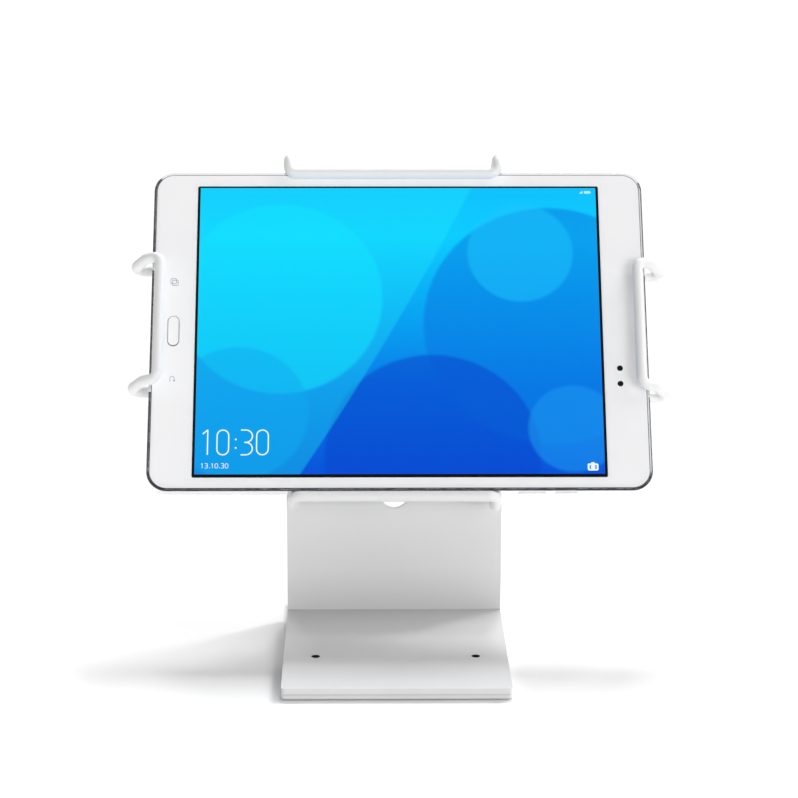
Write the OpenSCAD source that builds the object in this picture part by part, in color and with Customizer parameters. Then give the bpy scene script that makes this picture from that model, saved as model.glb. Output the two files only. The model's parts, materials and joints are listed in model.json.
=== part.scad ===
// Tablet security kiosk stand: a bent sheet stand, a rod-arm holder with one key lock, and a tablet.
// X runs along the counter screws, Y away from the user, Z up. The origin lies on the table,
// midway between the two counter screw holes.

/* [Stand] */
// Width of the bent sheet
stand_w = 105; // [96:1:120]
// Thickness of the bent sheet
sheet_t = 3; // [2:0.5:4]
// Depth of the base, from its front edge to the riser's front face
base_depth = 110; // [95:1:150]
// Height of the upper bend above the table
bend_height = 60.8; // [50:0.1:90]
// Lean of the tablet back from upright, in degrees
tilt = 34; // [28:1:42]
// Length of the back plate beyond its top screw holes
plate_margin = 13; // [8:0.5:20]
// Radius of the sheet's corners in plan
corner_r = 2; // [1:0.5:6]
// Inside radius of the fold between base and riser
fold_r = 1; // [0.5:0.5:4]
// Inside radius of the upper bend
lean_r = 2; // [1:0.5:5]
// Diameter of the cable hole at the upper bend
cable_hole_d = 14; // [8:0.5:20]
// Height of the cable hole's centre above the upper bend
cable_hole_rise = 4; // [2:0.5:12]

/* [Base] */
// Thickness of the weight plate under the base
weight_t = 2; // [2:0.5:6]
// Length of the weight plate behind the riser
heel_len = 28; // [20:1:50]
// Radius of the weight plate's rear corners
heel_corner_r = 8; // [2:0.5:15]
// Thickness of the non-slip sheet
pad_t = 0.5; // [0.5:0.1:1.5]
// Set-back of the non-slip sheet from the weight plate's edges
pad_inset = 2; // [1:0.5:5]
// Gap round the screws in the non-slip sheet
pad_hole_gap = 1; // [0.5:0.1:2]
// Diameter of the counter screw holes
counter_hole_d = 4; // [3:0.5:6]
// Distance between the counter screw holes
counter_spacing = 75; // [60:1:80]
// Distance of the counter screw holes from the front edge
counter_setback = 43; // [35:1:55]
// Distance of the weight screws from the sides
weight_screw_inset = 12; // [8:0.5:20]
// Distance of the front weight screws from the front edge
weight_screw_front = 14; // [8:0.5:25]
// Distance of the rear weight screws in front of the riser
weight_screw_rear = 18; // [10:0.5:30]
// Shank diameter of the weight screws
weight_screw_d = 4; // [3:0.5:5]
// Head diameter of the weight screws
weight_head_d = 7.4; // [6:0.1:9]
// Depth of the weight screws in the bent sheet
weight_screw_grip = 1.5; // [1:0.1:1.8]

/* [Tablet] */
// Width of the tablet
tablet_w = 242.5; // [225:0.5:260]
// Height of the tablet
tablet_h = 166.8; // [150:0.2:180]
// Thickness of the tablet
tablet_t = 7.5; // [7:0.1:9]
// Corner radius of the tablet
tablet_r = 10; // [6:0.5:14]
// Distance of the tablet's middle to the right of the stand's middle
tablet_x = 2.4; // [-4:0.1:4]
// Distance of the tablet's middle up the slope from the upper bend
tablet_up = 79.6; // [76:0.1:95]
// Width of the metal rim's lip round the glass
rim_lip = 1.2; // [0.8:0.1:2]
// Set-back of the rim's lip behind the glass
lip_back = 0.25; // [0.1:0.05:0.5]
// Wall of the metal rim
rim_wall = 3; // [2.5:0.1:4]
// Thickness of the front glass
glass_t = 0.9; // [0.7:0.1:1.2]
// White border at the left and right of the screen
side_border = 21.65; // [18:0.05:26]
// White border above the screen
top_border = 7.4; // [6:0.1:12]
// White border below the screen
bottom_border = 6.7; // [6:0.1:12]
// Corner radius of the screen
screen_r = 0.8; // [0.5:0.1:2]
// Thickness of the display module
display_t = 1.6; // [1.3:0.1:1.9]
// Thickness of the plate that carries the display
carrier_t = 0.8; // [0.5:0.1:1]
// Depth of the rear cover's side
cover_depth = 2.5; // [2:0.1:3]
// Wall of the rear cover
cover_wall = 0.9; // [0.7:0.1:1.2]
// Width of the rear cover's rounded edge
cover_round = 3; // [2:0.1:4]
// Depth of the rear cover's rounded edge
cover_curve = 1.9; // [1.2:0.1:1.9]
// Gap round fixed pieces of the tablet
snug = 0.05; // [0.02:0.01:0.1]

/* [Tablet keys] */
// Length of the home button
home_len = 15.7; // [12:0.1:18]
// Width of the home button
home_w = 5.6; // [4:0.1:7]
// Distance of the home button's middle from the tablet's left edge
home_inset = 11.2; // [9:0.1:14]
// Height of the home button's middle below the tablet's middle
home_drop = 1.4; // [0:0.1:5]
// Travel of the home button
home_travel = 0.4; // [0.2:0.05:0.5]
// Height of the home button above the glass
home_proud = 0.2; // [0.1:0.05:0.4]
// Length of the volume key
volume_len = 12.5; // [10:0.5:16]
// Distance of the volume key's middle from the tablet's right edge
volume_inset = 58; // [50:0.5:70]
// Length of the power key
power_len = 10; // [8:0.5:12]
// Distance of the power key's middle from the tablet's right edge
power_inset = 41.5; // [34:0.5:44]
// Thickness of the side keys
key_t = 1.6; // [1.2:0.1:1.8]
// Travel of the side keys
key_travel = 0.3; // [0.2:0.05:0.4]
// Height of a pressed side key above the edge
key_left = 0.2; // [0.1:0.05:0.4]
// Extra length of a side key's inner flange
key_flange = 1; // [0.5:0.1:1.5]
// Thickness of a side key's inner flange
key_flange_t = 0.8; // [0.5:0.1:1.2]
// Gap between a side key's flange and the rim
flange_gap = 0.3; // [0.3:0.05:0.5]
// Gap round the keys
key_gap = 0.15; // [0.1:0.05:0.2]
// Diameter of the pin that the volume key rocks on
pivot_d = 0.8; // [0.6:0.1:1]
// Distance of the volume key's pin from the tablet's edge
pivot_inset = 1.5; // [1.4:0.1:1.8]
// Depth of the volume key's pin in the rim, in front of the key
pivot_grip = 1.2; // [0.8:0.1:1.6]

/* [Tablet details] */
// Diameter of the front sensor windows
sensor_d = 2.8; // [2:0.1:4]
// Distance of the sensor windows from the tablet's right edge
sensor_inset = 14; // [10:0.1:17]
// Height of the upper sensor window below the tablet's middle
sensor_drop = 21; // [15:0.5:30]
// Distance between the sensor windows
sensor_pitch = 8; // [5:0.5:12]
// Diameter of the rear camera ring
camera_ring_d = 11; // [9:0.5:13]
// Diameter of the rear camera lens
camera_lens_d = 7; // [5:0.5:8]
// Height of the camera ring above the rear cover
camera_proud = 0.6; // [0.3:0.1:0.7]
// Wall of the camera ring's neck
camera_neck_wall = 0.8; // [0.5:0.1:1]
// Distance of the rear camera from the tablet's right edge
camera_inset = 16; // [13:0.5:22]
// Width of the charging port
port_w = 9; // [7:0.5:11]
// Height of the charging port
port_h = 2.6; // [2:0.1:2.8]
// Width of the battery
battery_w = 130; // [100:1:150]
// Height of the battery
battery_h = 110; // [90:1:130]
// Width of the main board
board_w = 42; // [30:1:44]
// Thickness of the main board
board_t = 1.2; // [0.8:0.1:1.6]
// Distance of the main board from the rim's left wall
board_inset = 7.2; // [4:0.1:10]
// Gap between the battery and the main board
board_gap = 4; // [2:0.5:8]
// Air gap behind the battery
battery_air = 0.4; // [0.2:0.1:1]

/* [Arms] */
// Diameter of the arm rods
rod_d = 5.2; // [4.6:0.1:5.6]
// Bend radius of the hooks
bend_r = 5; // [4:0.5:6]
// Bend radius at the corners of the front bars
bar_corner_r = 4; // [3:0.5:5]
// Straight run between the two bends of the top arm's hooks
front_run = 0.3; // [0.2:0.1:3]
// Gap between the top bar and the glass
front_gap = 0.2; // [0.2:0.1:0.6]
// Gap between the side bars and the glass
side_gap = 3.6; // [3:0.1:5]
// Gap between a side hook and the tablet's front edge
edge_gap = 1.2; // [1.2:0.1:1.8]
// Distance of a side hook's tip beyond its bar, from axis to axis
hook_reach = 12.6; // [11:0.1:14]
// Distance between the legs of a side arm
side_leg_spacing = 64; // [56:1:68]
// Height of the left arm's middle above the tablet's middle
left_arm_v = 3.6; // [0:0.1:4]
// Height of the right arm's middle above the tablet's middle
right_arm_v = 0.6; // [-2:0.1:4]
// Distance of a side bar's axis inside the tablet's edge
side_lap = 4.3; // [3:0.1:6]
// Distance between the legs of the top arm
top_leg_spacing = 104; // [102:0.5:110]
// Distance of the top bar's axis inside the tablet's edge
top_lap = 1.6; // [0.5:0.1:4]
// Distance between the legs of the bottom arm
bottom_leg_spacing = 97; // [92:0.5:98]
// Gap between the tablet and the ledge that it stands on
ledge_gap = 0.3; // [0.3:0.1:1]
// Distance of the ledge bar's axis in front of the tablet's middle
ledge_front = 4; // [2:0.1:6.5]
// Outward travel of each arm
arm_travel = 25; // [18:1:25]
// Diameter of the stop pins
pin_d = 2.5; // [2:0.1:3]
// Length of the stop pins
pin_len = 8; // [7:0.5:9]
// Length of leg beyond its stop pin
pin_tail = 2.9; // [2:0.1:3.5]

/* [Holder] */
// Thickness of the grip pads behind the tablet
grip_t = 0.8; // [0.5:0.1:2]
// Length of the grip pads
grip_len = 40; // [25:1:45]
// Width of the grip pads
grip_w = 9; // [6:0.5:12]
// Corner radius of the grip pads
grip_r = 2; // [1:0.1:2.8]
// Thickness of the front plate
plate_t = 2; // [1.5:0.1:3]
// Gap between pieces that pass each other
pass_gap = 0.3; // [0.3:0.05:0.5]
// Wall of the holder's shell
shell_wall = 2; // [1.5:0.1:3]
// Thickness of the shell's back wall
back_t = 2.5; // [2:0.1:4]
// Corner radius of the shell
shell_r = 6; // [4:0.5:10]
// Room between the outer legs and the shell's side walls
shell_room = 4.4; // [3:0.1:8]
// Length of the guides along the legs
guide_len = 11; // [9:0.5:13]
// Gap between the guides and the legs that cross them
guide_room = 1.2; // [1:0.1:2]
// Radial clearance of the legs in the guides
guide_fit = 0.05; // [0.02:0.01:0.09]
// Gap of the legs in the shell's walls
wall_gap = 0.4; // [0.3:0.1:0.8]
// Diameter of the shell's screw posts
post_d = 7; // [6:0.1:7.5]
// Distance between the screw posts along the slope
post_spacing = 32; // [26:1:36]
// Gap round the screw posts
post_gap = 0.3; // [0.2:0.05:0.5]
// Diameter of the front plate's screws
plate_screw_d = 3; // [2.5:0.1:3]
// Head diameter of the front plate's screws
plate_head_d = 5.6; // [5:0.1:6]
// Length of the front plate's screws
plate_screw_len = 8; // [6:0.5:12]
// Radial clearance of fixed screws and inserts
screw_gap = 0.05; // [0.02:0.01:0.1]
// Screw spacing of the back plate
vesa_spacing = 75; // [70:1:80]
// Height of the shell's seats on the back plate
seat_h = 3; // [2.9:0.1:6]
// Diameter of the shell's seats on the back plate
seat_d = 13; // [11:0.5:16]
// Shank diameter of the back plate's screws
vesa_screw_d = 4; // [3.5:0.1:4.5]
// Head diameter of the back plate's screws
vesa_head_d = 7.6; // [7:0.1:9]
// Head height of the back plate's screws
vesa_head_h = 2.2; // [1.8:0.1:3]
// Diameter of the rear face of the back plate's screw heads
vesa_face_d = 5.7; // [5:0.1:6.5]
// Size of the hexagon socket in the back plate's screws
vesa_socket_d = 2.8; // [2:0.1:3.5]
// Depth of the hexagon socket in the back plate's screws
vesa_socket_depth = 1.5; // [1:0.1:1.7]
// Gap round the back plate's screws in its holes
vesa_hole_gap = 0.4; // [0.2:0.1:1]
// Wall of the threaded inserts
insert_wall = 1; // [0.8:0.1:1.5]
// Length of the threaded inserts
insert_len = 4.6; // [3.5:0.1:4.8]

/* [Lock] */
// Thickness of the clamp plate
clamp_t = 2.5; // [2:0.1:4]
// Travel of the clamp plate over a quarter turn of the key
clamp_travel = 0.6; // [0.3:0.1:1]
// Diameter of the lock spindle
spindle_d = 8; // [7:0.1:9]
// Diameter of the spindle's front journal
journal_d = 6; // [4:0.1:6.5]
// Wall of the bush that carries the journal
bush_wall = 2; // [1.5:0.1:3]
// Length of the bush behind the front plate
bush_len = 2.4; // [1.5:0.1:2.5]
// Width of the bush's flange
bush_flange = 1.5; // [1:0.1:2]
// Thickness of the bush's flange
bush_flange_t = 1.2; // [0.8:0.1:1.4]
// Diameter of the clamp plate's threaded boss
boss_d = 14; // [12:0.5:16]
// Length of the clamp plate's threaded boss
boss_len = 4; // [2:0.1:5]
// Radial clearance of turning pieces
turn_fit = 0.05; // [0.02:0.01:0.09]
// Diameter of the lock body
lock_d = 18; // [16:0.5:19]
// Diameter of the lock body's flange
lock_flange_d = 23; // [21:0.5:26]
// Thickness of the lock body's flange
lock_flange_t = 1.4; // [1:0.1:1.8]
// Height of the lock's face behind the back plate
lock_proud = 2; // [1:0.1:5]
// Diameter of the lock plug
plug_d = 10; // [9:0.1:12]
// Length of the keyway
keyway_len = 6.4; // [5:0.1:8]
// Width of the keyway
keyway_w = 1.8; // [1.2:0.1:2.5]
// Depth of the keyway
keyway_depth = 6; // [3:0.5:8]
// Size of the lock nut across its flats
nut_flats = 24; // [22:0.5:26]
// Thickness of the lock nut
nut_t = 2.4; // [2:0.1:2.6]
// Gap between the lock body and the back plate
lock_gap = 1; // [0.5:0.1:2]

/* [Hidden] */
$fn = 64;
cut = 1;
bend_steps = 12;
run_step = 0.06;
run_lap = 0.3;
rod_r = rod_d / 2;
half_t = tablet_t / 2;

// Heights and places of the stand
weight_z = pad_t;
sheet_z = weight_z + weight_t;
base_top = sheet_z + sheet_t;
front_y = -counter_setback;
riser_y = base_depth - counter_setback;
heel_y = riser_y + sheet_t + heel_len;
lean_run = (lean_r + sheet_t) * tan(tilt / 2);
cable_run = (cable_hole_rise + cable_hole_d / 2) * tan(tilt) + sheet_t / cos(tilt) + cut;
slope_len = tablet_up + vesa_spacing / 2 + plate_margin;

// Depths behind the tablet's middle plane
grip_back = half_t + grip_t;
plate_back = grip_back + plate_t;
depth_a = plate_back + pass_gap + rod_r;
depth_b = depth_a + rod_d + pass_gap;
clamp_front = depth_b + rod_r + pass_gap;
clamp_back = clamp_front + clamp_t;
back_front = clamp_back + clamp_travel + pass_gap;
back_rear = back_front + back_t;
standoff = back_rear + seat_h;
slope_rear = standoff + sheet_t;
lock_rear = slope_rear + lock_proud;
front_depth = half_t + front_gap + rod_r;
side_depth = half_t + side_gap + rod_r;

// A side hook's run from its bar past the tablet's front edge, and on to the bend at its tip
edge_r = rod_r + edge_gap;
near_step = [side_lap, side_gap + rod_r];
near_angle = atan2(near_step[1], near_step[0]) - asin(edge_r / norm(near_step));
near_run = sqrt(pow(norm(near_step), 2) - pow(edge_r, 2));
tip_in = hook_reach - bend_r;
far_step = [tip_in - side_lap, depth_a - bend_r + half_t];
far_angle = atan2(far_step[1], far_step[0]) - asin((bend_r - edge_r) / norm(far_step));
far_run = sqrt(pow(norm(far_step), 2) - pow(bend_r - edge_r, 2));

// Places in the holder, measured from its middle
leg_reach = max(rod_r, pin_len / 2);
leg_high = side_leg_spacing / 2 + max(abs(left_arm_v), abs(right_arm_v)) + leg_reach;
cross_guide_in = leg_high + guide_room;
cross_guide_out = cross_guide_in + guide_len;
side_guide_out = bottom_leg_spacing / 2 - leg_reach - guide_room;
side_guide_in = side_guide_out - guide_len;
side_guide_back = depth_a + rod_r + guide_room;
shell_w = top_leg_spacing + rod_d + 2 * (shell_room + shell_wall);
shell_h = 2 * (cross_guide_out + pass_gap + shell_wall);
side_pin = side_guide_in - arm_travel - pass_gap - pin_d / 2;
cross_pin = cross_guide_in - arm_travel - pass_gap - pin_d / 2;
post_x = (side_guide_in + side_guide_out) / 2;
clamp_w = top_leg_spacing + 2 * (rod_r + guide_room);
clamp_h = 2 * (cross_guide_in - 2 * pass_gap);
nut_r = nut_flats / 2 / cos(30);

// Layers of the tablet, measured from its middle plane
glass_back = -half_t + glass_t;
display_back = -half_t + display_t;
carrier_back = display_back + carrier_t;
cover_front = half_t - cover_depth;
window_w = tablet_w - 2 * side_border;
window_h = tablet_h - top_border - bottom_border;
window_v = (bottom_border - top_border) / 2;
key_d = (carrier_back + cover_front) / 2;
home_u = -tablet_w / 2 + home_inset;
home_front = -half_t - home_proud;
home_back = display_back - home_travel - key_gap;
key_proud = key_travel + key_left;
sensor_u = tablet_w / 2 - sensor_inset;
camera_u = tablet_w / 2 - camera_inset;
board_u = -tablet_w / 2 + rim_wall + board_inset + board_w / 2;
volume_u = tablet_w / 2 - volume_inset;
power_u = tablet_w / 2 - power_inset;

WHITE = "white";
STEEL = "silver";
NYLON = "ivory";

// Frames and shared shapes

// Holder frame: x sideways, y back from the tablet's middle plane, z up the slope from its middle
module on_slope() {
    translate([0, riser_y, bend_height])
        rotate([-tilt, 0, 0])
            translate([0, -standoff, tablet_up])
                children();
}

module on_tablet() {
    on_slope()
        translate([tablet_x, 0, 0])
            children();
}

// Flat outline drawn in x and z, thick from depth d0 to depth d1
module layer(d0, d1) {
    translate([0, d1, 0])
        rotate([90, 0, 0])
            linear_extrude(d1 - d0)
                children();
}

module rounded(w, h, r) {
    square([w - 2 * r, h], center = true);
    square([w, h - 2 * r], center = true);
    for (sx = [-1, 1], sy = [-1, 1])
        translate([sx * (w / 2 - r), sy * (h / 2 - r)])
            circle(r);
}

module slot(len, w) {
    square([w, len - w], center = true);
    for (s = [-1, 1])
        translate([0, s * (len - w) / 2])
            circle(d = w);
}

module at_corners(dx, dy) {
    for (sx = [-1, 1], sy = [-1, 1])
        translate([sx * dx / 2, sy * dy / 2])
            children();
}

// Countersunk screw along +z, with the head's face at z = 0
module countersunk(d, head_d, len, gap = 0) {
    head_h = (head_d - d) / 2;
    cylinder(d1 = head_d + 2 * gap, d2 = d + 2 * gap, h = head_h);
    cylinder(d = d + 2 * gap, h = len);
}

// Stand

module at_counter_holes() {
    for (s = [-1, 1])
        translate([s * counter_spacing / 2, 0, 0])
            children();
}

module at_weight_screws() {
    for (s = [-1, 1], y = [front_y + weight_screw_front, riser_y - weight_screw_rear])
        translate([s * (stand_w / 2 - weight_screw_inset), y, 0])
            children();
}

module ring(r_in, t) {
    difference() {
        circle(r_in + t);
        circle(r_in);
    }
}

// Points along an arc from angle a0 to angle a1
function arc_points(centre, r, a0, a1) = [
    for (i = [0:bend_steps])
        let (a = a0 + (a1 - a0) * i / bend_steps)
            centre + r * [cos(a), sin(a)]
];

// Point on the leaning plate: t behind its front face, s up the slope from the bend
function on_lean(t, s) =
    [riser_y, bend_height] + t * [cos(tilt), -sin(tilt)] + s * [sin(tilt), cos(tilt)];

// Side view of the bent sheet, drawn in y and z
module stand_profile() {
    fold = [riser_y - fold_r, base_top + fold_r];
    lean = [riser_y + sheet_t + lean_r, bend_height - lean_run];
    polygon(concat(
        [[front_y, sheet_z]],
        arc_points(fold, fold_r + sheet_t, -90, 0),
        arc_points(lean, lean_r, 180, 180 - tilt),
        [on_lean(sheet_t, slope_len), on_lean(0, slope_len)],
        arc_points(lean, lean_r + sheet_t, 180 - tilt, 180),
        arc_points(fold, fold_r, 0, -90),
        [[front_y, base_top]]
    ));
}

// What is left of a square corner outside its round
module corner_waste(r) {
    difference() {
        translate([-cut, -cut])
            square(r + cut);
        translate([r, r])
            circle(r);
    }
}

module stand_frame() {
    color(WHITE)
    difference() {
        rotate([90, 0, 90])
            linear_extrude(stand_w, center = true)
                stand_profile();
        at_counter_holes()
            cylinder(d = counter_hole_d, h = base_top + cut);
        at_weight_screws()
            translate([0, 0, sheet_z - cut])
                cylinder(d = weight_screw_d + 2 * screw_gap, h = cut + weight_screw_grip + screw_gap);
        for (s = [0, 1])
            mirror([s, 0, 0])
                translate([-stand_w / 2, front_y, 0])
                    linear_extrude(base_top + cut)
                        corner_waste(corner_r);
        translate([0, riser_y, bend_height + cable_hole_rise])
            rotate([-90, 0, 0])
                cylinder(d = cable_hole_d, h = 2 * cable_run, center = true);
        on_slope() {
            layer(standoff - cut, slope_rear + cut)
                at_corners(vesa_spacing, vesa_spacing)
                    circle(d = vesa_screw_d + 2 * vesa_hole_gap);
            layer(standoff - cut, slope_rear + cut)
                circle(d = lock_d + 2 * lock_gap);
            for (s = [0, 1])
                mirror([s, 0, 0])
                    translate([-stand_w / 2, 0, slope_len - tablet_up])
                        layer(standoff - cut, slope_rear + cut)
                            mirror([0, 1, 0])
                                corner_waste(corner_r);
        }
    }
}

module weight_outline(inset) {
    w = stand_w - 2 * inset;
    len = heel_y - front_y - 2 * inset;
    difference() {
        translate([-w / 2, front_y + inset])
            square([w, len]);
        for (s = [0, 1])
            mirror([s, 0, 0])
                translate([-w / 2, front_y + inset])
                    corner_waste(corner_r);
        for (s = [0, 1])
            mirror([s, 0, 0])
                translate([-w / 2, heel_y - inset])
                    mirror([0, 1, 0])
                        corner_waste(heel_corner_r);
    }
}

module base_weight() {
    color(WHITE)
    difference() {
        translate([0, 0, weight_z])
            linear_extrude(weight_t)
                weight_outline(0);
        at_counter_holes()
            cylinder(d = counter_hole_d, h = base_top);
        at_weight_screws()
            translate([0, 0, weight_z])
                countersunk(weight_screw_d, weight_head_d, weight_t + cut, screw_gap);
    }
}

module base_pad() {
    color("dimgray")
    linear_extrude(pad_t)
        difference() {
            weight_outline(pad_inset);
            at_counter_holes()
                circle(d = counter_hole_d + 2 * pad_hole_gap);
            at_weight_screws()
                circle(d = weight_head_d + 2 * pad_hole_gap);
        }
}

module weight_screws() {
    color(STEEL)
    at_weight_screws()
        translate([0, 0, weight_z])
            countersunk(weight_screw_d, weight_head_d, weight_t + weight_screw_grip);
}

// Holder case

module at_posts() {
    at_corners(2 * post_x, post_spacing)
        children();
}

// Legs of both side arms, as [side, height]
function side_legs() = [
    for (arm = [[-1, left_arm_v], [1, right_arm_v]], s = [-1, 1])
        [arm[0], arm[1] + s * side_leg_spacing / 2]
];

// Legs of the top and bottom arms, as [side up or down, x]
function cross_legs() = [
    for (arm = [[1, top_leg_spacing], [-1, bottom_leg_spacing]], s = [-1, 1])
        [arm[0], s * arm[1] / 2]
];

module holder_shell() {
    inner_w = shell_w - 2 * shell_wall;
    inner_h = shell_h - 2 * shell_wall;
    gap_r = rod_r + wall_gap;
    color(WHITE)
    on_slope() {
        difference() {
            union() {
                layer(plate_back, back_rear)
                    rounded(shell_w, shell_h, shell_r);
                layer(back_rear, standoff)
                    at_corners(vesa_spacing, vesa_spacing)
                        circle(d = seat_d);
            }
            difference() {
                layer(plate_back - cut, back_front)
                    rounded(inner_w, inner_h, shell_r - shell_wall);
                layer(plate_back - 2 * cut, back_front + cut)
                    at_posts()
                        circle(d = post_d);
            }
            for (leg = side_legs()) {
                translate([leg[0] * (shell_w - shell_wall) / 2, depth_a, leg[1]]) {
                    rotate([0, 90, 0])
                        cylinder(r = gap_r, h = shell_wall + cut, center = true);
                    translate([0, -depth_a / 2, 0])
                        cube([shell_wall + cut, depth_a, 2 * gap_r], center = true);
                }
            }
            for (leg = cross_legs())
                translate([leg[1], depth_b, leg[0] * (shell_h - shell_wall) / 2])
                    cylinder(r = gap_r, h = shell_wall + cut, center = true);
            layer(back_front - cut, back_rear + cut)
                circle(d = lock_d + 2 * screw_gap);
            layer(back_front - cut, back_front + lock_flange_t + screw_gap)
                circle(d = lock_flange_d + 2 * screw_gap);
            layer(standoff - insert_len - screw_gap, standoff + cut)
                at_corners(vesa_spacing, vesa_spacing)
                    circle(r = vesa_screw_d / 2 + insert_wall + screw_gap);
            layer(plate_back - cut, plate_back + plate_screw_len)
                at_posts()
                    circle(d = plate_screw_d + 2 * screw_gap);
        }
    }
}

module front_plate() {
    color(WHITE)
    on_slope()
        difference() {
            layer(grip_back, plate_back)
                rounded(shell_w, shell_h, shell_r);
            layer(grip_back - cut, plate_back + cut)
                circle(d = journal_d + 2 * (bush_wall + screw_gap));
            translate([0, grip_back, 0])
                rotate([-90, 0, 0])
                    at_posts()
                        countersunk(plate_screw_d, plate_head_d, plate_t + cut, screw_gap);
        }
}

module plate_screws() {
    color(STEEL)
    on_slope()
        translate([0, grip_back, 0])
            rotate([-90, 0, 0])
                at_posts()
                    countersunk(plate_screw_d, plate_head_d, plate_screw_len);
}

module grip_pads() {
    color("gray")
    on_slope()
        layer(half_t, grip_back)
            at_corners(shell_w - grip_len - shell_r, shell_h - grip_w - shell_r)
                rounded(grip_len, grip_w, grip_r);
}

// Guide for one side arm, on the right: v is the height of the arm's middle
module side_guide(v) {
    end = cross_guide_in - pass_gap;
    bore_r = rod_r + guide_fit;
    difference() {
        layer(plate_back, side_guide_back)
            difference() {
                translate([side_guide_in, -end])
                    square([guide_len, 2 * end]);
                at_posts()
                    circle(d = post_d + 2 * post_gap);
            }
        for (s = [-1, 1])
            translate([side_guide_in - cut, depth_a, v + s * side_leg_spacing / 2]) {
                rotate([0, 90, 0])
                    cylinder(r = bore_r, h = guide_len + 2 * cut);
                translate([0, -depth_a, -bore_r])
                    cube([guide_len + 2 * cut, depth_a, 2 * bore_r]);
            }
    }
}

module left_guide() {
    color(NYLON)
    on_slope()
        mirror([1, 0, 0])
            side_guide(left_arm_v);
}

module right_guide() {
    color(NYLON)
    on_slope()
        side_guide(right_arm_v);
}

// Guide for the top or bottom arm, drawn at the top
module cross_guide(spacing) {
    w = shell_w - 2 * (shell_wall + pass_gap);
    r = shell_r - shell_wall;
    difference() {
        layer(plate_back, back_front)
            translate([-w / 2, cross_guide_in])
                difference() {
                    square([w, guide_len]);
                    for (s = [0, 1])
                        translate([s * w, guide_len])
                            mirror([s, 0])
                                mirror([0, 1])
                                    corner_waste(r);
                }
        for (s = [-1, 1])
            translate([s * spacing / 2, depth_b, cross_guide_in - cut])
                cylinder(r = rod_r + guide_fit, h = guide_len + 2 * cut);
    }
}

module top_guide() {
    color(NYLON)
    on_slope()
        cross_guide(top_leg_spacing);
}

module bottom_guide() {
    color(NYLON)
    on_slope()
        mirror([0, 0, 1])
            cross_guide(bottom_leg_spacing);
}

module vesa_inserts() {
    color("gold")
    on_slope()
        layer(standoff - insert_len, standoff)
            at_corners(vesa_spacing, vesa_spacing)
                ring(vesa_screw_d / 2 + screw_gap, insert_wall - screw_gap);
}

module vesa_screws() {
    color(STEEL)
    on_slope() {
        layer(standoff - insert_len + screw_gap, slope_rear)
            at_corners(vesa_spacing, vesa_spacing)
                circle(d = vesa_screw_d);
        translate([0, slope_rear, 0])
            rotate([-90, 0, 0])
                at_corners(vesa_spacing, vesa_spacing)
                    difference() {
                        cylinder(d1 = vesa_head_d, d2 = vesa_face_d, h = vesa_head_h);
                        translate([0, 0, vesa_head_h - vesa_socket_depth])
                            cylinder(d = vesa_socket_d, h = vesa_socket_depth + cut, $fn = 6);
                    }
    }
}

// Lock

module lock_body() {
    color(STEEL)
    on_slope()
        difference() {
            union() {
                layer(back_front, back_front + lock_flange_t)
                    circle(d = lock_flange_d);
                layer(back_front, lock_rear)
                    circle(d = lock_d);
            }
            layer(back_front - cut, lock_rear + cut)
                circle(d = plug_d + 2 * turn_fit);
        }
}

module lock_nut() {
    color(STEEL)
    on_slope()
        layer(back_rear, back_rear + nut_t)
            difference() {
                circle(nut_r, $fn = 6);
                circle(d = lock_d + 2 * screw_gap);
            }
}

module lock_plug() {
    color("gold")
    on_slope()
        difference() {
            layer(back_front, lock_rear - screw_gap)
                circle(d = plug_d);
            layer(lock_rear - keyway_depth, lock_rear + cut)
                square([keyway_w, keyway_len], center = true);
        }
}

module lock_spindle() {
    color(STEEL)
    on_slope() {
        layer(grip_back + pass_gap, plate_back + bush_len)
            circle(d = journal_d);
        layer(plate_back + bush_len, back_front)
            circle(d = spindle_d);
    }
}

module spindle_bush() {
    bore_r = journal_d / 2 + turn_fit;
    color("gold")
    on_slope() {
        layer(grip_back + pass_gap, plate_back + bush_len - screw_gap)
            ring(bore_r, bush_wall - turn_fit);
        layer(plate_back, plate_back + bush_flange_t)
            ring(bore_r, bush_wall - turn_fit + bush_flange);
    }
}

module clamp_plate() {
    color(STEEL)
    on_slope()
        difference() {
            union() {
                layer(clamp_front, clamp_back)
                    rounded(clamp_w, clamp_h, shell_r);
                layer(clamp_front - boss_len, clamp_front)
                    circle(d = boss_d);
            }
            layer(clamp_front - boss_len - cut, clamp_back + cut)
                circle(d = spindle_d + 2 * turn_fit);
            layer(clamp_front - cut, clamp_back + cut)
                at_posts()
                    circle(d = post_d + 2 * post_gap);
        }
}

// Arms

module rod_x(x0, x1, y, z) {
    translate([x0, y, z])
        rotate([0, 90, 0])
            cylinder(d = rod_d, h = x1 - x0);
}

// Straight run between two bends, a touch thicker than they are, that reaches a little way into both
module run_x(x0, x1, y, z) {
    translate([x0 - run_lap, y, z])
        rotate([0, 90, 0])
            cylinder(d = rod_d + 2 * run_step, h = x1 - x0 + 2 * run_lap);
}

module rod_y(y0, y1, x, z) {
    translate([x, y0, z])
        rotate([-90, 0, 0])
            cylinder(d = rod_d, h = y1 - y0);
}

module rod_z(z0, z1, x, y) {
    translate([x, y, z0])
        cylinder(d = rod_d, h = z1 - z0);
}

// Bent stretch of rod in the x-y plane, from angle a0 over the angle sweep
module arc(r, a0, sweep) {
    rotate([0, 0, a0])
        rotate_extrude(angle = sweep)
            translate([r, 0])
                circle(d = rod_d);
}

// The same in the x-z plane and in the y-z plane
module arc_xz(r, a0, sweep) {
    rotate([90, 0, 0])
        arc(r, a0, sweep);
}

module arc_yz(r, a0, sweep) {
    rotate([90, 0, 90])
        arc(r, a0, sweep);
}

module side_pins(v, gap = 0) {
    for (s = [-1, 1])
        translate([side_pin, depth_a, v + s * side_leg_spacing / 2])
            cylinder(d = pin_d + 2 * gap, h = pin_len, center = true);
}

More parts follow.
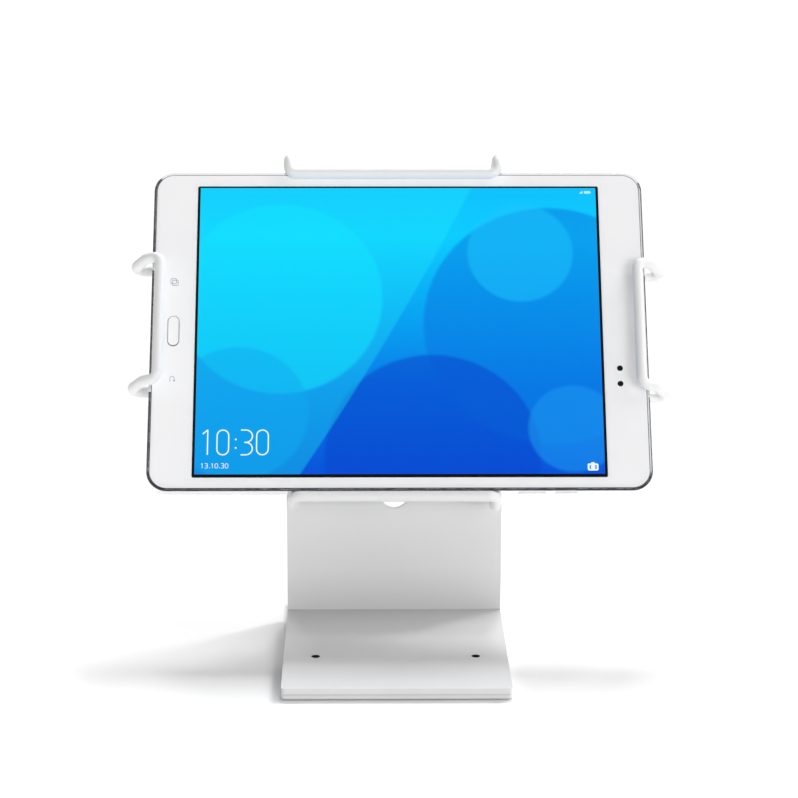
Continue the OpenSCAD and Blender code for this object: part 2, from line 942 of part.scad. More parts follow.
// Hook arm on the right: edge is the x of the tablet's side, v the height of the arm's middle
module side_hook(edge, v) {
    bar_x = edge - side_lap;
    tip_x = bar_x + tip_in;
    half = side_leg_spacing / 2;
    difference() {
        union() {
            for (s = [-1, 1]) {
                leg_z = v + s * half;
                rod_x(side_pin - pin_tail, tip_x, depth_a, leg_z);
                translate([tip_x, depth_a - bend_r, leg_z])
                    mirror([0, 1, 0])
                        arc(bend_r, -90, 180 - far_angle);
                translate([edge, -half_t, leg_z]) {
                    arc(edge_r, near_angle - 90, far_angle - near_angle);
                    rotate([0, 0, far_angle])
                        run_x(0, far_run, -edge_r, 0);
                }
                translate([bar_x, -side_depth, leg_z])
                    rotate([0, 0, near_angle]) {
                        run_x(bar_corner_r, near_run, 0, 0);
                        translate([bar_corner_r, 0, -s * bar_corner_r])
                            arc_xz(bar_corner_r, s > 0 ? 90 : 180, 90);
                    }
            }
            rod_z(v - half + bar_corner_r, v + half - bar_corner_r, bar_x, -side_depth);
        }
        side_pins(v, screw_gap);
    }
}

module left_arm() {
    color(WHITE)
    on_slope()
        mirror([1, 0, 0])
            side_hook(tablet_w / 2 - tablet_x, left_arm_v);
}

module right_arm() {
    color(WHITE)
    on_slope()
        side_hook(tablet_w / 2 + tablet_x, right_arm_v);
}

module left_stop_pins() {
    color(STEEL)
    on_slope()
        mirror([1, 0, 0])
            side_pins(left_arm_v);
}

module right_stop_pins() {
    color(STEEL)
    on_slope()
        side_pins(right_arm_v);
}

module cross_pins(spacing, gap = 0) {
    for (s = [-1, 1])
        translate([s * spacing / 2, depth_b, cross_pin])
            rotate([0, 90, 0])
                cylinder(d = pin_d + 2 * gap, h = pin_len, center = true);
}

module top_arm() {
    half = top_leg_spacing / 2;
    bar_z = tablet_h / 2 - top_lap;
    bend_z = bar_z + bar_corner_r + front_run;
    run_z = bend_z + bend_r;
    color(WHITE)
    on_slope()
        difference() {
            union() {
                for (s = [-1, 1]) {
                    x = s * half;
                    translate([x - s * bar_corner_r, -front_depth, bar_z + bar_corner_r])
                        arc_xz(bar_corner_r, s > 0 ? 270 : 180, 90);
                    rod_z(bar_z + bar_corner_r, bend_z, x, -front_depth);
                    translate([x, -front_depth + bend_r, bend_z])
                        arc_yz(bend_r, 90, 90);
                    rod_y(-front_depth + bend_r, depth_b - bend_r, x, run_z);
                    translate([x, depth_b - bend_r, bend_z])
                        arc_yz(bend_r, 0, 90);
                    rod_z(cross_pin - pin_tail, bend_z, x, depth_b);
                }
                rod_x(-half + bar_corner_r, half - bar_corner_r, -front_depth, bar_z);
            }
            cross_pins(top_leg_spacing, screw_gap);
        }
}

module bottom_arm() {
    half = bottom_leg_spacing / 2;
    run_z = tablet_h / 2 + ledge_gap + rod_r;
    color(WHITE)
    on_slope()
        mirror([0, 0, 1])
            difference() {
                union() {
                    for (s = [-1, 1]) {
                        x = s * half;
                        translate([x - s * bar_corner_r, -ledge_front + bar_corner_r, run_z])
                            arc(bar_corner_r, s > 0 ? 270 : 180, 90);
                        rod_y(-ledge_front + bar_corner_r, depth_b - bend_r, x, run_z);
                        translate([x, depth_b - bend_r, run_z - bend_r])
                            arc_yz(bend_r, 0, 90);
                        rod_z(cross_pin - pin_tail, run_z - bend_r, x, depth_b);
                    }
                    rod_x(-half + bar_corner_r, half - bar_corner_r, -ledge_front, run_z);
                }
                cross_pins(bottom_leg_spacing, screw_gap);
            }
}

module top_stop_pins() {
    color(STEEL)
    on_slope()
        cross_pins(top_leg_spacing);
}

module bottom_stop_pins() {
    color(STEEL)
    on_slope()
        mirror([0, 0, 1])
            cross_pins(bottom_leg_spacing);
}

// Tablet

module tablet_outline(inset) {
    rounded(tablet_w - 2 * inset, tablet_h - 2 * inset, tablet_r - inset);
}

module window(gap) {
    translate([0, window_v])
        rounded(window_w + 2 * gap, window_h + 2 * gap, screen_r);
}

module at_home() {
    translate([home_u, -home_drop])
        children();
}

module at_sensors() {
    for (i = [0, 1])
        translate([sensor_u, -sensor_drop - i * sensor_pitch])
            children();
}

module tablet_front_panel() {
    color("whitesmoke")
    on_tablet()
        layer(-half_t, glass_back)
            difference() {
                tablet_outline(rim_lip + snug);
                window(0);
                at_home()
                    slot(home_len + 2 * key_gap, home_w + 2 * key_gap);
                at_sensors()
                    circle(d = sensor_d + 2 * snug);
            }
}

module tablet_display() {
    color("deepskyblue")
    on_tablet()
        layer(-half_t, display_back)
            window(-snug);
}

module side_key_slot(u, len) {
    w = len + 2 * key_gap;
    h = key_t + 2 * key_gap;
    translate([u - w / 2, key_d - h / 2, -tablet_h / 2 - cut])
        cube([w, h, rim_wall + 2 * cut]);
}

// Pin across the volume key's slot, from the rim in front of the key to the rear cover
module key_pivot(gap) {
    front = key_d - key_t / 2 - key_gap - pivot_grip;
    translate([volume_u, front, -tablet_h / 2 + pivot_inset])
        rotate([-90, 0, 0])
            cylinder(d = pivot_d + 2 * gap, h = cover_front - front);
}

module tablet_rim() {
    color(STEEL)
    on_tablet()
        difference() {
            layer(-half_t + lip_back, cover_front)
                tablet_outline(0);
            layer(-half_t - cut, glass_back)
                tablet_outline(rim_lip);
            layer(glass_back - cut, display_back)
                tablet_outline(rim_wall);
            layer(carrier_back, cover_front + cut)
                tablet_outline(rim_wall);
            side_key_slot(volume_u, volume_len);
            side_key_slot(power_u, power_len);
            key_pivot(snug);
            translate([-tablet_w / 2, key_d, 0])
                cube([2 * rim_wall + cut, port_h, port_w], center = true);
        }
}

module tablet_rear_cover() {
    steps = [for (a = [0:15:90]) [cover_round * (1 - cos(a)), cover_curve * sin(a)]];
    start = half_t - cover_curve;
    skin = 0.02;
    color(WHITE)
    on_tablet()
        difference() {
            hull() {
                layer(cover_front, start)
                    tablet_outline(0, $fn = 32);
                for (p = steps)
                    layer(start + p[1] - skin, start + p[1])
                        tablet_outline(p[0], $fn = 32);
            }
            layer(cover_front - cut, half_t - cover_wall)
                tablet_outline(rim_wall + cover_wall);
            translate([camera_u, 0, 0])
                layer(cover_front, half_t + cut)
                    circle(d = camera_lens_d + 2 * (camera_neck_wall + snug));
        }
}

module tablet_home_button() {
    color("whitesmoke")
    on_tablet()
        layer(home_front, home_back)
            at_home()
                slot(home_len, home_w);
}

// Key in the tablet's lower edge, with a flange that keeps it in
module side_key(u, len) {
    edge = -tablet_h / 2;
    inside = edge + rim_wall + flange_gap;
    translate([u - len / 2, key_d - key_t / 2, edge - key_proud])
        cube([len, key_t, inside + key_flange_t - edge + key_proud]);
    translate([u - len / 2 - key_flange, key_d - key_t / 2, inside])
        cube([len + 2 * key_flange, key_t, key_flange_t]);
}

module tablet_power_key() {
    color(STEEL)
    on_tablet()
        side_key(power_u, power_len);
}

module tablet_volume_key() {
    color(STEEL)
    on_tablet()
        difference() {
            side_key(volume_u, volume_len);
            key_pivot(turn_fit);
        }
}

module tablet_key_pin() {
    color(STEEL)
    on_tablet()
        key_pivot(0);
}

module tablet_sensors() {
    color("black")
    on_tablet()
        layer(-half_t, glass_back)
            at_sensors()
                circle(d = sensor_d);
}

module tablet_camera_ring() {
    neck_r = camera_lens_d / 2;
    color(STEEL)
    on_tablet()
        translate([camera_u, 0, 0]) {
            layer(half_t, half_t + camera_proud)
                ring(neck_r + snug, camera_ring_d / 2 - neck_r - snug);
            layer(half_t - cover_wall, half_t)
                ring(neck_r + snug, camera_neck_wall - snug);
        }
}

module tablet_camera_lens() {
    color("black")
    on_tablet()
        translate([camera_u, 0, 0])
            layer(half_t - cover_wall, half_t + camera_proud / 2)
                circle(d = camera_lens_d);
}

module tablet_battery() {
    color("dimgray")
    on_tablet()
        layer(carrier_back, half_t - cover_wall - battery_air)
            translate([board_u + board_w / 2 + board_gap + battery_w / 2, 0])
                rounded(battery_w, battery_h, rim_wall);
}

module tablet_main_board() {
    color("green")
    on_tablet()
        layer(carrier_back, carrier_back + board_t)
            translate([board_u, 0])
                rounded(board_w, battery_h, rim_wall);
}

stand_frame();
base_weight();
base_pad();
weight_screws();
holder_shell();
front_plate();
grip_pads();
left_guide();
right_guide();
top_guide();
bottom_guide();
plate_screws();
vesa_inserts();
vesa_screws();
lock_body();
lock_nut();
lock_plug();
lock_spindle();
spindle_bush();
clamp_plate();
left_arm();
right_arm();
top_arm();
bottom_arm();
left_stop_pins();
right_stop_pins();
top_stop_pins();
bottom_stop_pins();
tablet_front_panel();
tablet_display();
tablet_rim();
tablet_rear_cover();
tablet_home_button();
tablet_power_key();
tablet_volume_key();
tablet_key_pin();
tablet_sensors();
tablet_camera_ring();
tablet_camera_lens();
tablet_battery();
tablet_main_board();
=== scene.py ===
"""Looks of a tablet kiosk stand: finishes, lit screen, printed marks, studio and camera."""

import json
import logging
import math
from collections.abc import Iterable, Sequence
from dataclasses import dataclass, field
from enum import Enum
from typing import Any

import bmesh
import bpy
from mathutils import Matrix, Vector


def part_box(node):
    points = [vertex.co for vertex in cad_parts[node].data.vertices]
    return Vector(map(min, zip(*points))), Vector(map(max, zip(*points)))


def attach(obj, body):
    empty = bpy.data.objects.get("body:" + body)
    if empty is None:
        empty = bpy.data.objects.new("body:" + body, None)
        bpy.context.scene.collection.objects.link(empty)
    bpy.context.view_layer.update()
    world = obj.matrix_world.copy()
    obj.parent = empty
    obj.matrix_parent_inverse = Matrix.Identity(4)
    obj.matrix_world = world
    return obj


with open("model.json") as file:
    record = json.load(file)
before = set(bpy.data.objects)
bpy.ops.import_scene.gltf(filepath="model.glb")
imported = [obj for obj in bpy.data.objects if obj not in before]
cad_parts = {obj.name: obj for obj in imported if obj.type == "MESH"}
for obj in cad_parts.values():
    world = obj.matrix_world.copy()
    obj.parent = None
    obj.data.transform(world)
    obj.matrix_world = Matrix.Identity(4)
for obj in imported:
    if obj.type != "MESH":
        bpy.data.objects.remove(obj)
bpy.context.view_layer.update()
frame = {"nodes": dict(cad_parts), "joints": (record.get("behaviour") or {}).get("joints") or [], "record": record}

log = logging.getLogger("kiosk_stand")

MM = 0.001
Point = tuple[float, float]

# Noise that draws grain and patches: its finer layers, and the values that most of it lies between
GRAIN_DETAIL = 2.0
GRAIN_ROUGHNESS = 0.55
PATCH_DETAIL = 3.0
NOISE_LOW = 0.3
NOISE_HIGH = 0.7

# Eased edges: points closer than the weld are one, angles are in degrees
WELD_MM = 0.002
FLAT_ANGLE = 0.3
SMOOTH_ANGLE = 32.0
SHARP_ANGLE = 40.0
EASE_STEPS = 3

# Drawn marks: steps of a round corner, the gap below which two points are one, and the least cosine at
# a bend, which keeps a sharp bend from growing a spike
CORNER_STEPS = 6
SAME_POINT = 1e-6
LEAST_LEAN = 0.5


def linear(colour: str, alpha: float = 1.0) -> tuple[float, float, float, float]:
    """Turns an sRGB hex colour to linear light.

    Args:
        colour: Six hex digits after a hash mark.
        alpha: Fourth value of the result.

    Returns:
        Red, green, blue and alpha, each from 0 to 1.
    """
    parts = [int(colour[i:i + 2], 16) / 255 for i in (1, 3, 5)]
    light = [p / 12.92 if p <= 0.04045 else ((p + 0.055) / 1.055) ** 2.4 for p in parts]
    return (light[0], light[1], light[2], alpha)


def add_node(
    tree: bpy.types.NodeTree, kind: str, links: dict | None = None, **settings: Any,
) -> bpy.types.Node:
    """Adds one node with its settings, values and links.

    Args:
        tree: Node tree that takes the node.
        kind: Blender's name for the kind of node.
        links: What goes into each input, by its name or number: a value, or another node's output.
        settings: Properties of the node.

    Returns:
        The new node.
    """
    node = tree.nodes.new(kind)
    for name, value in settings.items():
        setattr(node, name, value)
    for socket, value in (links or {}).items():
        if isinstance(value, bpy.types.NodeSocket):
            tree.links.new(value, node.inputs[socket])
        else:
            node.inputs[socket].default_value = value
    return node


class Blend(Enum):
    """How a second colour lies over the first in a finish."""

    CLOUD = "cloud"
    SPECK = "speck"


@dataclass(frozen=True)
class Finish:
    """A material and how its surface was made.

    Lengths are real sizes in millimetres. The grain gives the bump and the change of gloss, and the
    patches give the slow change of colour that keeps a large face from looking flat.
    """

    name: str
    colour: str
    second: str
    roughness: float
    grain_mm: float
    depth_mm: float
    patch_mm: float = 45.0
    gloss_change: float = 0.05
    metallic: float = 0.0
    ior: float = 1.5
    specular: float = 0.5
    coat: float = 0.0
    coat_roughness: float = 0.03
    stretch: tuple[float, float, float] = (1.0, 1.0, 1.0)
    blend: Blend = Blend.CLOUD

    def material(self) -> bpy.types.Material:
        """Makes the material the first time, and finds it after that.

        Returns:
            The material.
        """
        found = bpy.data.materials.get(self.name)
        if found:
            return found
        made = bpy.data.materials.new(self.name)
        made.use_nodes = True
        tree = made.node_tree
        tree.nodes.clear()
        shader = add_node(tree, "ShaderNodeBsdfPrincipled", {
            "Base Color": linear(self.colour),
            "Metallic": self.metallic,
            "Roughness": self.roughness,
            "IOR": self.ior,
            "Specular IOR Level": self.specular,
            "Coat Weight": self.coat,
            "Coat Roughness": self.coat_roughness,
        })
        add_node(tree, "ShaderNodeOutputMaterial", {"Surface": shader.outputs[0]})
        self.surface(tree, shader)
        return made

    def surface(self, tree: bpy.types.NodeTree, shader: bpy.types.Node) -> None:
        """Links the colour, gloss and bump of the finish.

        Args:
            tree: Node tree of the material.
            shader: Its surface shader.
        """
        place = add_node(tree, "ShaderNodeTexCoord").outputs["Object"]
        drawn = add_node(tree, "ShaderNodeMapping", {"Vector": place, "Scale": self.stretch})
        grain = add_node(tree, "ShaderNodeTexNoise", {
            "Vector": drawn.outputs[0],
            "Scale": 1 / (self.grain_mm * MM),
            "Detail": GRAIN_DETAIL,
            "Roughness": GRAIN_ROUGHNESS,
        })
        gloss = add_node(tree, "ShaderNodeMapRange", {
            "Value": grain.outputs[0],
            "From Min": NOISE_LOW,
            "From Max": NOISE_HIGH,
            "To Min": max(0.0, self.roughness - self.gloss_change),
            "To Max": self.roughness + self.gloss_change,
        })
        bump = add_node(tree, "ShaderNodeBump", {
            "Height": grain.outputs[0], "Distance": self.depth_mm * MM, "Strength": 1.0,
        })
        tree.links.new(self.tint(tree, place), shader.inputs["Base Color"])
        tree.links.new(gloss.outputs[0], shader.inputs["Roughness"])
        tree.links.new(bump.outputs[0], shader.inputs["Normal"])

    def tint(self, tree: bpy.types.NodeTree, place: bpy.types.NodeSocket) -> bpy.types.NodeSocket:
        """Draws the colour of the finish.

        Args:
            tree: Node tree of the material.
            place: Place on the object.

        Returns:
            The colour.
        """
        scale = 1 / (self.patch_mm * MM)
        if self.blend is Blend.CLOUD:
            patch = add_node(tree, "ShaderNodeTexNoise", {
                "Vector": place, "Scale": scale, "Detail": PATCH_DETAIL,
            })
        else:
            patch = add_node(tree, "ShaderNodeTexVoronoi", {"Vector": place, "Scale": scale})
        return add_node(tree, "ShaderNodeMix", {
            0: patch.outputs[0], 6: linear(self.colour), 7: linear(self.second),
        }, data_type="RGBA").outputs[2]


@dataclass(frozen=True)
class ThinCoatAndShadeLine:
    """A straight line along which a coat is drawn darker: where it lies thin or is missing, and where shade is
    painted.
    """

    through: Vector
    across: Vector
    radius_mm: float
    soft_mm: float
    share: float
    colour: str = "#86868B"


@dataclass(frozen=True)
class SheetCoat(Finish):
    """A coat on bent and drilled sheet: bare in the holes, with painted shade in the fold, and thin along the
    seam.
    """

    lines: tuple[ThinCoatAndShadeLine, ...] = ()

    def tint(self, tree: bpy.types.NodeTree, place: bpy.types.NodeSocket) -> bpy.types.NodeSocket:
        """Draws the coat, darker along the lines: bare holes, painted shade in the fold, thin coat at the seam.

        Args:
            tree: Node tree of the material.
            place: Place on the object.

        Returns:
            The colour.
        """
        colour = super().tint(tree, place)
        for line in self.lines:
            flat = add_node(tree, "ShaderNodeVectorMath", {
                0: place, 1: line.across,
            }, operation="MULTIPLY")
            away = add_node(tree, "ShaderNodeVectorMath", {
                0: flat.outputs[0], 1: line.through * line.across,
            }, operation="DISTANCE")
            there = add_node(tree, "ShaderNodeMapRange", {
                "Value": away.outputs["Value"],
                "From Min": (line.radius_mm - line.soft_mm) * MM,
                "From Max": (line.radius_mm + line.soft_mm) * MM,
                "To Min": line.share,
                "To Max": 0.0,
            })
            colour = add_node(tree, "ShaderNodeMix", {
                0: there.outputs[0], 6: colour, 7: linear(line.colour),
            }, data_type="RGBA").outputs[2]
        return colour


# A grain that is really finer than about 0.3 mm is drawn that coarse or coarser, so that it shows

# Baked polyester powder on steel: satin white with the faint orange peel of melted powder
POWDER_COAT = Finish("polyester_powder_coat", "#DFDFDF", "#DBDBDC", 0.42,
                     grain_mm=1.3, depth_mm=0.012)
# The same powder on thin rod, where the coat flows out smoother and catches a longer glint
ROD_COAT = Finish("polyester_powder_coat_on_rod", "#ECECEC", "#E8E8E9", 0.34,
                  grain_mm=1.6, depth_mm=0.006)
# Zinc plated steel: cool grey, half bright, with a cloudy passivated film
ZINC = Finish("zinc_plated_steel", "#C4C8CC", "#A9AEB6", 0.32, grain_mm=0.5, depth_mm=0.004,
              patch_mm=6.0, metallic=1.0, gloss_change=0.1)
# Chromium plate over die-cast zinc: bright mirror with very fine polishing marks
CHROME = Finish("chrome_plated_zinc", "#D9DBDE", "#CDD0D4", 0.1, grain_mm=0.4, depth_mm=0.0015,
                patch_mm=10.0, metallic=1.0, gloss_change=0.05)
# Turned free-cutting brass: warm yellow, half bright, with fine tool marks
BRASS = Finish("turned_brass", "#C9A65A", "#B58F45", 0.28, grain_mm=0.3, depth_mm=0.004,
               patch_mm=5.0, metallic=1.0, gloss_change=0.08)
# Moulded nylon: milky off-white, waxy, with a fine spark-eroded mould texture
NYLON = Finish("moulded_nylon", "#E6E4DC", "#DEDBD1", 0.5, grain_mm=0.5, depth_mm=0.012,
               patch_mm=20.0)
# Moulded silicone rubber: matt dark grey with a dry, slightly dusty skin
RUBBER = Finish("moulded_silicone_rubber", "#3A3B3D", "#46474A", 0.78, grain_mm=0.6, depth_mm=0.02,
                patch_mm=12.0)
# The same silicone cast as a thin pale sheet, which hides under a white base
PALE_RUBBER = Finish("cast_silicone_sheet", "#D4D4D6", "#DADADB", 0.7, grain_mm=0.8, depth_mm=0.02,
                     patch_mm=12.0)
# Cover glass printed white from behind: even white ground under a clear, wet-looking face
GLASS = Finish("back_printed_cover_glass", "#FDFDFE", "#FBFBFD", 0.03, grain_mm=4.0, depth_mm=0.0004,
               patch_mm=60.0, gloss_change=0.02, specular=1.0, coat=1.0)
# Polished aluminium rim: mirror bright, with the faint short lines of the buffing wheel
RIM = Finish("polished_aluminium_rim", "#EEEFF1", "#E4E6E9", 0.02, grain_mm=0.5, depth_mm=0.0001,
             patch_mm=25.0, metallic=1.0, gloss_change=0.015, stretch=(0.15, 1.0, 1.0))
# Moulded polycarbonate cover: glossy white with a hint of flow waviness
COVER = Finish("moulded_polycarbonate_cover", "#F2F2F1", "#ECECEB", 0.2, grain_mm=5.0, depth_mm=0.006,
               patch_mm=50.0, coat=0.4)
# Dark lens glass: nearly black with a clear, smooth face
LENS = Finish("dark_lens_glass", "#0B0C10", "#14161D", 0.08, grain_mm=3.0, depth_mm=0.0005,
              patch_mm=2.5, gloss_change=0.02, coat=1.0)
# Smoked window over a light sensor: nearly black and dull, so that it mirrors little of the room
SENSOR = Finish("smoked_sensor_window", "#0B0C10", "#101218", 0.3, grain_mm=3.0, depth_mm=0.0005,
                patch_mm=2.5, specular=0.15)
# Foil pouch of a flat cell: dull silver with the creases of the sealed film
FOIL = Finish("battery_foil_pouch", "#B9BCC0", "#9EA2A8", 0.4, grain_mm=7.0, depth_mm=0.12,
              patch_mm=14.0, metallic=0.9, gloss_change=0.1)
# Glass fibre board under solder mask: deep green with a weave, drawn coarser than it is
BOARD = Finish("solder_masked_laminate", "#1F5A3A", "#2A6B48", 0.38, grain_mm=0.6, depth_mm=0.01,
               patch_mm=3.0, blend=Blend.SPECK)
# Grey enamel ink printed on the glass: flat and slightly satin
INK = Finish("grey_screen_ink", "#A9ACB0", "#A0A3A8", 0.45, grain_mm=0.3, depth_mm=0.002,
             patch_mm=4.0)
# Uncoated studio paper: matt and even white, with hardly a sheen
PAPER = Finish("studio_paper", "#FBFBFB", "#FAFAFA", 0.9, grain_mm=3.0, depth_mm=0.01, specular=0.1)
# Dark grey card: dull, so that gloss mirrors it as one even shade
DARK_CARD = Finish("dark_card", "#4A494F", "#46454B", 0.95, grain_mm=2.0, depth_mm=0.02, specular=0.0)


@dataclass(frozen=True)
class LitInk(Finish):
    """A mark that the panel draws in light, on a panel that is dark where it is off."""

    light: float = 1.0
    off_colour: str = "#101214"

    def surface(self, tree: bpy.types.NodeTree, shader: bpy.types.Node) -> None:
        """Lets the mark shine in its own colour, with the panel's slight unevenness.

        Args:
            tree: Node tree of the material.
            shader: Its surface shader.
        """
        place = add_node(tree, "ShaderNodeTexCoord").outputs["Object"]
        cloud = add_node(tree, "ShaderNodeTexNoise", {
            "Vector": place, "Scale": 1 / (self.patch_mm * MM),
        })
        colour = add_node(tree, "ShaderNodeMix", {
            0: cloud.outputs[0], 6: linear(self.colour), 7: linear(self.second),
        }, data_type="RGBA")
        shader.inputs["Base Color"].default_value = linear(self.off_colour)
        shader.inputs["Emission Strength"].default_value = self.light
        tree.links.new(colour.outputs[2], shader.inputs["Emission Color"])


# Lit pixels behind the glass: they glow evenly and take no shade
PIXELS = LitInk("lit_white_pixels", "#F2FBFF", "#E6F6FF", 0.2, grain_mm=0.3, depth_mm=0.0,
                patch_mm=3.0)
# The same pixels in a pale blue, which lets a small mark keep back
CYAN_PIXELS = LitInk("lit_pale_pixels", "#BDF0FF", "#AEE8FC", 0.2, grain_mm=0.3, depth_mm=0.0,
                     patch_mm=3.0)


@dataclass(frozen=True)
class LeanPlane:
    """The tablet's own axes: across, up the slope, and into its back."""

    centre: Vector
    half: Vector
    across: Vector
    up: Vector
    back: Vector

    @classmethod
    def around(cls, *nodes: str) -> "LeanPlane":
        """Finds the plane and the half sizes of some of the tablet's nodes.

        Args:
            nodes: Names of the nodes that it spans.

        Returns:
            The plane through their middle.
        """
        axes = {j["name"]: Vector(j["axis"]).normalized() for j in frame["joints"]}
        up, back = axes["top_arm_slide"], axes["home_press"]
        across = back.cross(up)
        reach = []
        for axis in (across, up, back):
            along = [axis.dot(v.co) for n in nodes for v in frame["nodes"][n].data.vertices]
            reach.append((min(along), max(along)))
        middle = [(low + high) / 2 for low, high in reach]
        half = Vector([(high - low) / 2 for low, high in reach])
        return cls(across * middle[0] + up * middle[1] + back * middle[2], half, across, up, back)

    def at(self, u: float, v: float, d: float) -> Vector:
        """Gives the place of a point on the tablet.

        Args:
            u: Millimetres to the right of the middle.
            v: Millimetres up the slope from the middle.
            d: Millimetres behind the middle.

        Returns:
            The point in the shared frame.
        """
        return self.centre + (self.across * u + self.up * v + self.back * d) * MM

    def measure(
        self, tree: bpy.types.NodeTree, place: bpy.types.NodeSocket,
    ) -> list[bpy.types.NodeSocket]:
        """Measures in a material how far a place lies from the middle.

        Args:
            tree: Node tree of the material.
            place: Place on the object.

        Returns:
            Millimetres to the right, and millimetres up the slope.
        """
        local = add_node(tree, "ShaderNodeVectorMath", {
            0: place, 1: self.centre,
        }, operation="SUBTRACT")
        lengths = []
        for axis in (self.across, self.up):
            along = add_node(tree, "ShaderNodeVectorMath", {
                0: local.outputs[0], 1: axis / MM,
            }, operation="DOT_PRODUCT")
            lengths.append(along.outputs["Value"])
        return lengths


@dataclass(frozen=True)
class EdgedGlass(Finish):
    """Printed glass with the dark line of its sealing gasket round its outer edge.

    The line may change to a second colour towards its lower end: painted shade of a gap there.
    """

    plane: LeanPlane | None = None
    corner_mm: float = 8.8
    line_mm: float = 0.3
    soft_mm: float = 0.12
    line_colour: str = "#17181B"
    low_shade_colour: str = "#17181B"
    low_mm: float = 2.6

    def tint(self, tree: bpy.types.NodeTree, place: bpy.types.NodeSocket) -> bpy.types.NodeSocket:
        """Draws the print, and the gasket along the round-cornered edge, with painted shade at its lower end.

        Args:
            tree: Node tree of the material.
            place: Place on the object.

        Returns:
            The colour.
        """
        spots = self.plane.measure(tree, place)
        over = []
        for value, half in zip(spots, self.plane.half):
            size = add_node(tree, "ShaderNodeMath", {0: value}, operation="ABSOLUTE")
            past = add_node(tree, "ShaderNodeMath", {
                0: size.outputs[0], 1: half / MM - self.corner_mm,
            }, operation="SUBTRACT")
            over.append(add_node(tree, "ShaderNodeMath", {
                0: past.outputs[0], 1: 0.0,
            }, operation="MAXIMUM").outputs[0])
        spot = add_node(tree, "ShaderNodeCombineXYZ", {0: over[0], 1: over[1]})
        away = add_node(tree, "ShaderNodeVectorMath", {0: spot.outputs[0]}, operation="LENGTH")
        start = self.corner_mm - self.line_mm
        there = add_node(tree, "ShaderNodeMapRange", {
            "Value": away.outputs["Value"],
            "From Min": start - self.soft_mm,
            "From Max": start + self.soft_mm,
        })
        # Towards the lower end the line turns to its second colour, which is painted shade
        lowest = -self.plane.half.y / MM
        rise = add_node(tree, "ShaderNodeMapRange", {
            "Value": spots[1], "From Min": lowest, "From Max": lowest + self.low_mm,
        })
        line = add_node(tree, "ShaderNodeMix", {
            0: rise.outputs[0], 6: linear(self.low_shade_colour), 7: linear(self.line_colour),
        }, data_type="RGBA")
        return add_node(tree, "ShaderNodeMix", {
            0: there.outputs[0], 6: super().tint(tree, place), 7: line.outputs[2],
        }, data_type="RGBA").outputs[2]


def dress(finish: Finish, *nodes: str) -> None:
    """Puts a finish on CAD nodes.

    Args:
        finish: The finish.
        nodes: Names of the nodes.
    """
    for name in nodes:
        piece = frame["nodes"][name]
        for place in piece.material_slots:
            place.material = finish.material()
        log.info("%s: %s", name, finish.name)


def smooth_by_angle() -> bpy.types.NodeTree:
    """Gives the node group that shades a piece smooth apart from its sharp edges.

    Returns:
        The group, which is made the first time.
    """
    name = "smooth_by_angle"
    found = bpy.data.node_groups.get(name)
    if found:
        return found
    tree = bpy.data.node_groups.new(name, "GeometryNodeTree")
    tree.interface.new_socket("Geometry", in_out="INPUT", socket_type="NodeSocketGeometry")
    tree.interface.new_socket("Geometry", in_out="OUTPUT", socket_type="NodeSocketGeometry")
    start = add_node(tree, "NodeGroupInput")
    angle = add_node(tree, "GeometryNodeInputMeshEdgeAngle")
    flat_enough = add_node(tree, "ShaderNodeMath", {
        0: angle.outputs["Unsigned Angle"], 1: math.radians(SMOOTH_ANGLE),
    }, operation="LESS_THAN")
    faces = add_node(tree, "GeometryNodeSetShadeSmooth", {
        "Geometry": start.outputs[0], "Shade Smooth": True,
    })
    edges = add_node(tree, "GeometryNodeSetShadeSmooth", {
        "Geometry": faces.outputs[0], "Shade Smooth": flat_enough.outputs[0],
    }, domain="EDGE")
    add_node(tree, "NodeGroupOutput", {0: edges.outputs[0]})
    return tree


def ease_edges(width_mm: float, *nodes: str) -> None:
    """Rounds the sharp edges of CAD nodes a little, as real edges are, so that they catch the light.

    Args:
        width_mm: Width of the rounding.
        nodes: Names of the nodes.
    """
    for name in nodes:
        piece = frame["nodes"][name]
        weld = piece.modifiers.new("weld", "WELD")
        weld.merge_threshold = WELD_MM * MM
        flat = piece.modifiers.new("flat_faces", "DECIMATE")
        flat.decimate_type = "DISSOLVE"
        flat.angle_limit = math.radians(FLAT_ANGLE)
        bevel = piece.modifiers.new("eased_edges", "BEVEL")
        bevel.width = width_mm * MM
        bevel.segments = EASE_STEPS
        bevel.limit_method = "ANGLE"
        bevel.angle_limit = math.radians(SHARP_ANGLE)
        bevel.miter_outer = "MITER_ARC"
        shade = piece.modifiers.new("shading", "NODES")
        shade.node_group = smooth_by_angle()
        even = piece.modifiers.new("even_normals", "WEIGHTED_NORMAL")
        even.keep_sharp = True


def add_mesh(name: str, mesh: bmesh.types.BMesh, finish: Finish) -> bpy.types.Object:
    """Turns a drawn mesh into an object of the scene.

    Args:
        name: Name of the object.
        mesh: The drawn mesh, which is freed.
        finish: Its finish.

    Returns:
        The object.
    """
    data = bpy.data.meshes.new(name)
    mesh.to_mesh(data)
    mesh.free()
    data.materials.append(finish.material())
    made = bpy.data.objects.new(name, data)
    bpy.context.scene.collection.objects.link(made)
    return made


def mesh_piece(name: str, mesh: bmesh.types.BMesh, finish: Finish, body: str) -> None:
    """Turns a drawn mesh into a piece that rides on a body.

    Args:
        name: Name of the piece.
        mesh: The drawn mesh, which is freed.
        finish: Its finish.
        body: Body that carries it.
    """
    bmesh.ops.recalc_face_normals(mesh, faces=mesh.faces)
    piece = add_mesh(name, mesh, finish)
    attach(piece, body)
    log.info("%s: %s, on %s", name, finish.name, body)


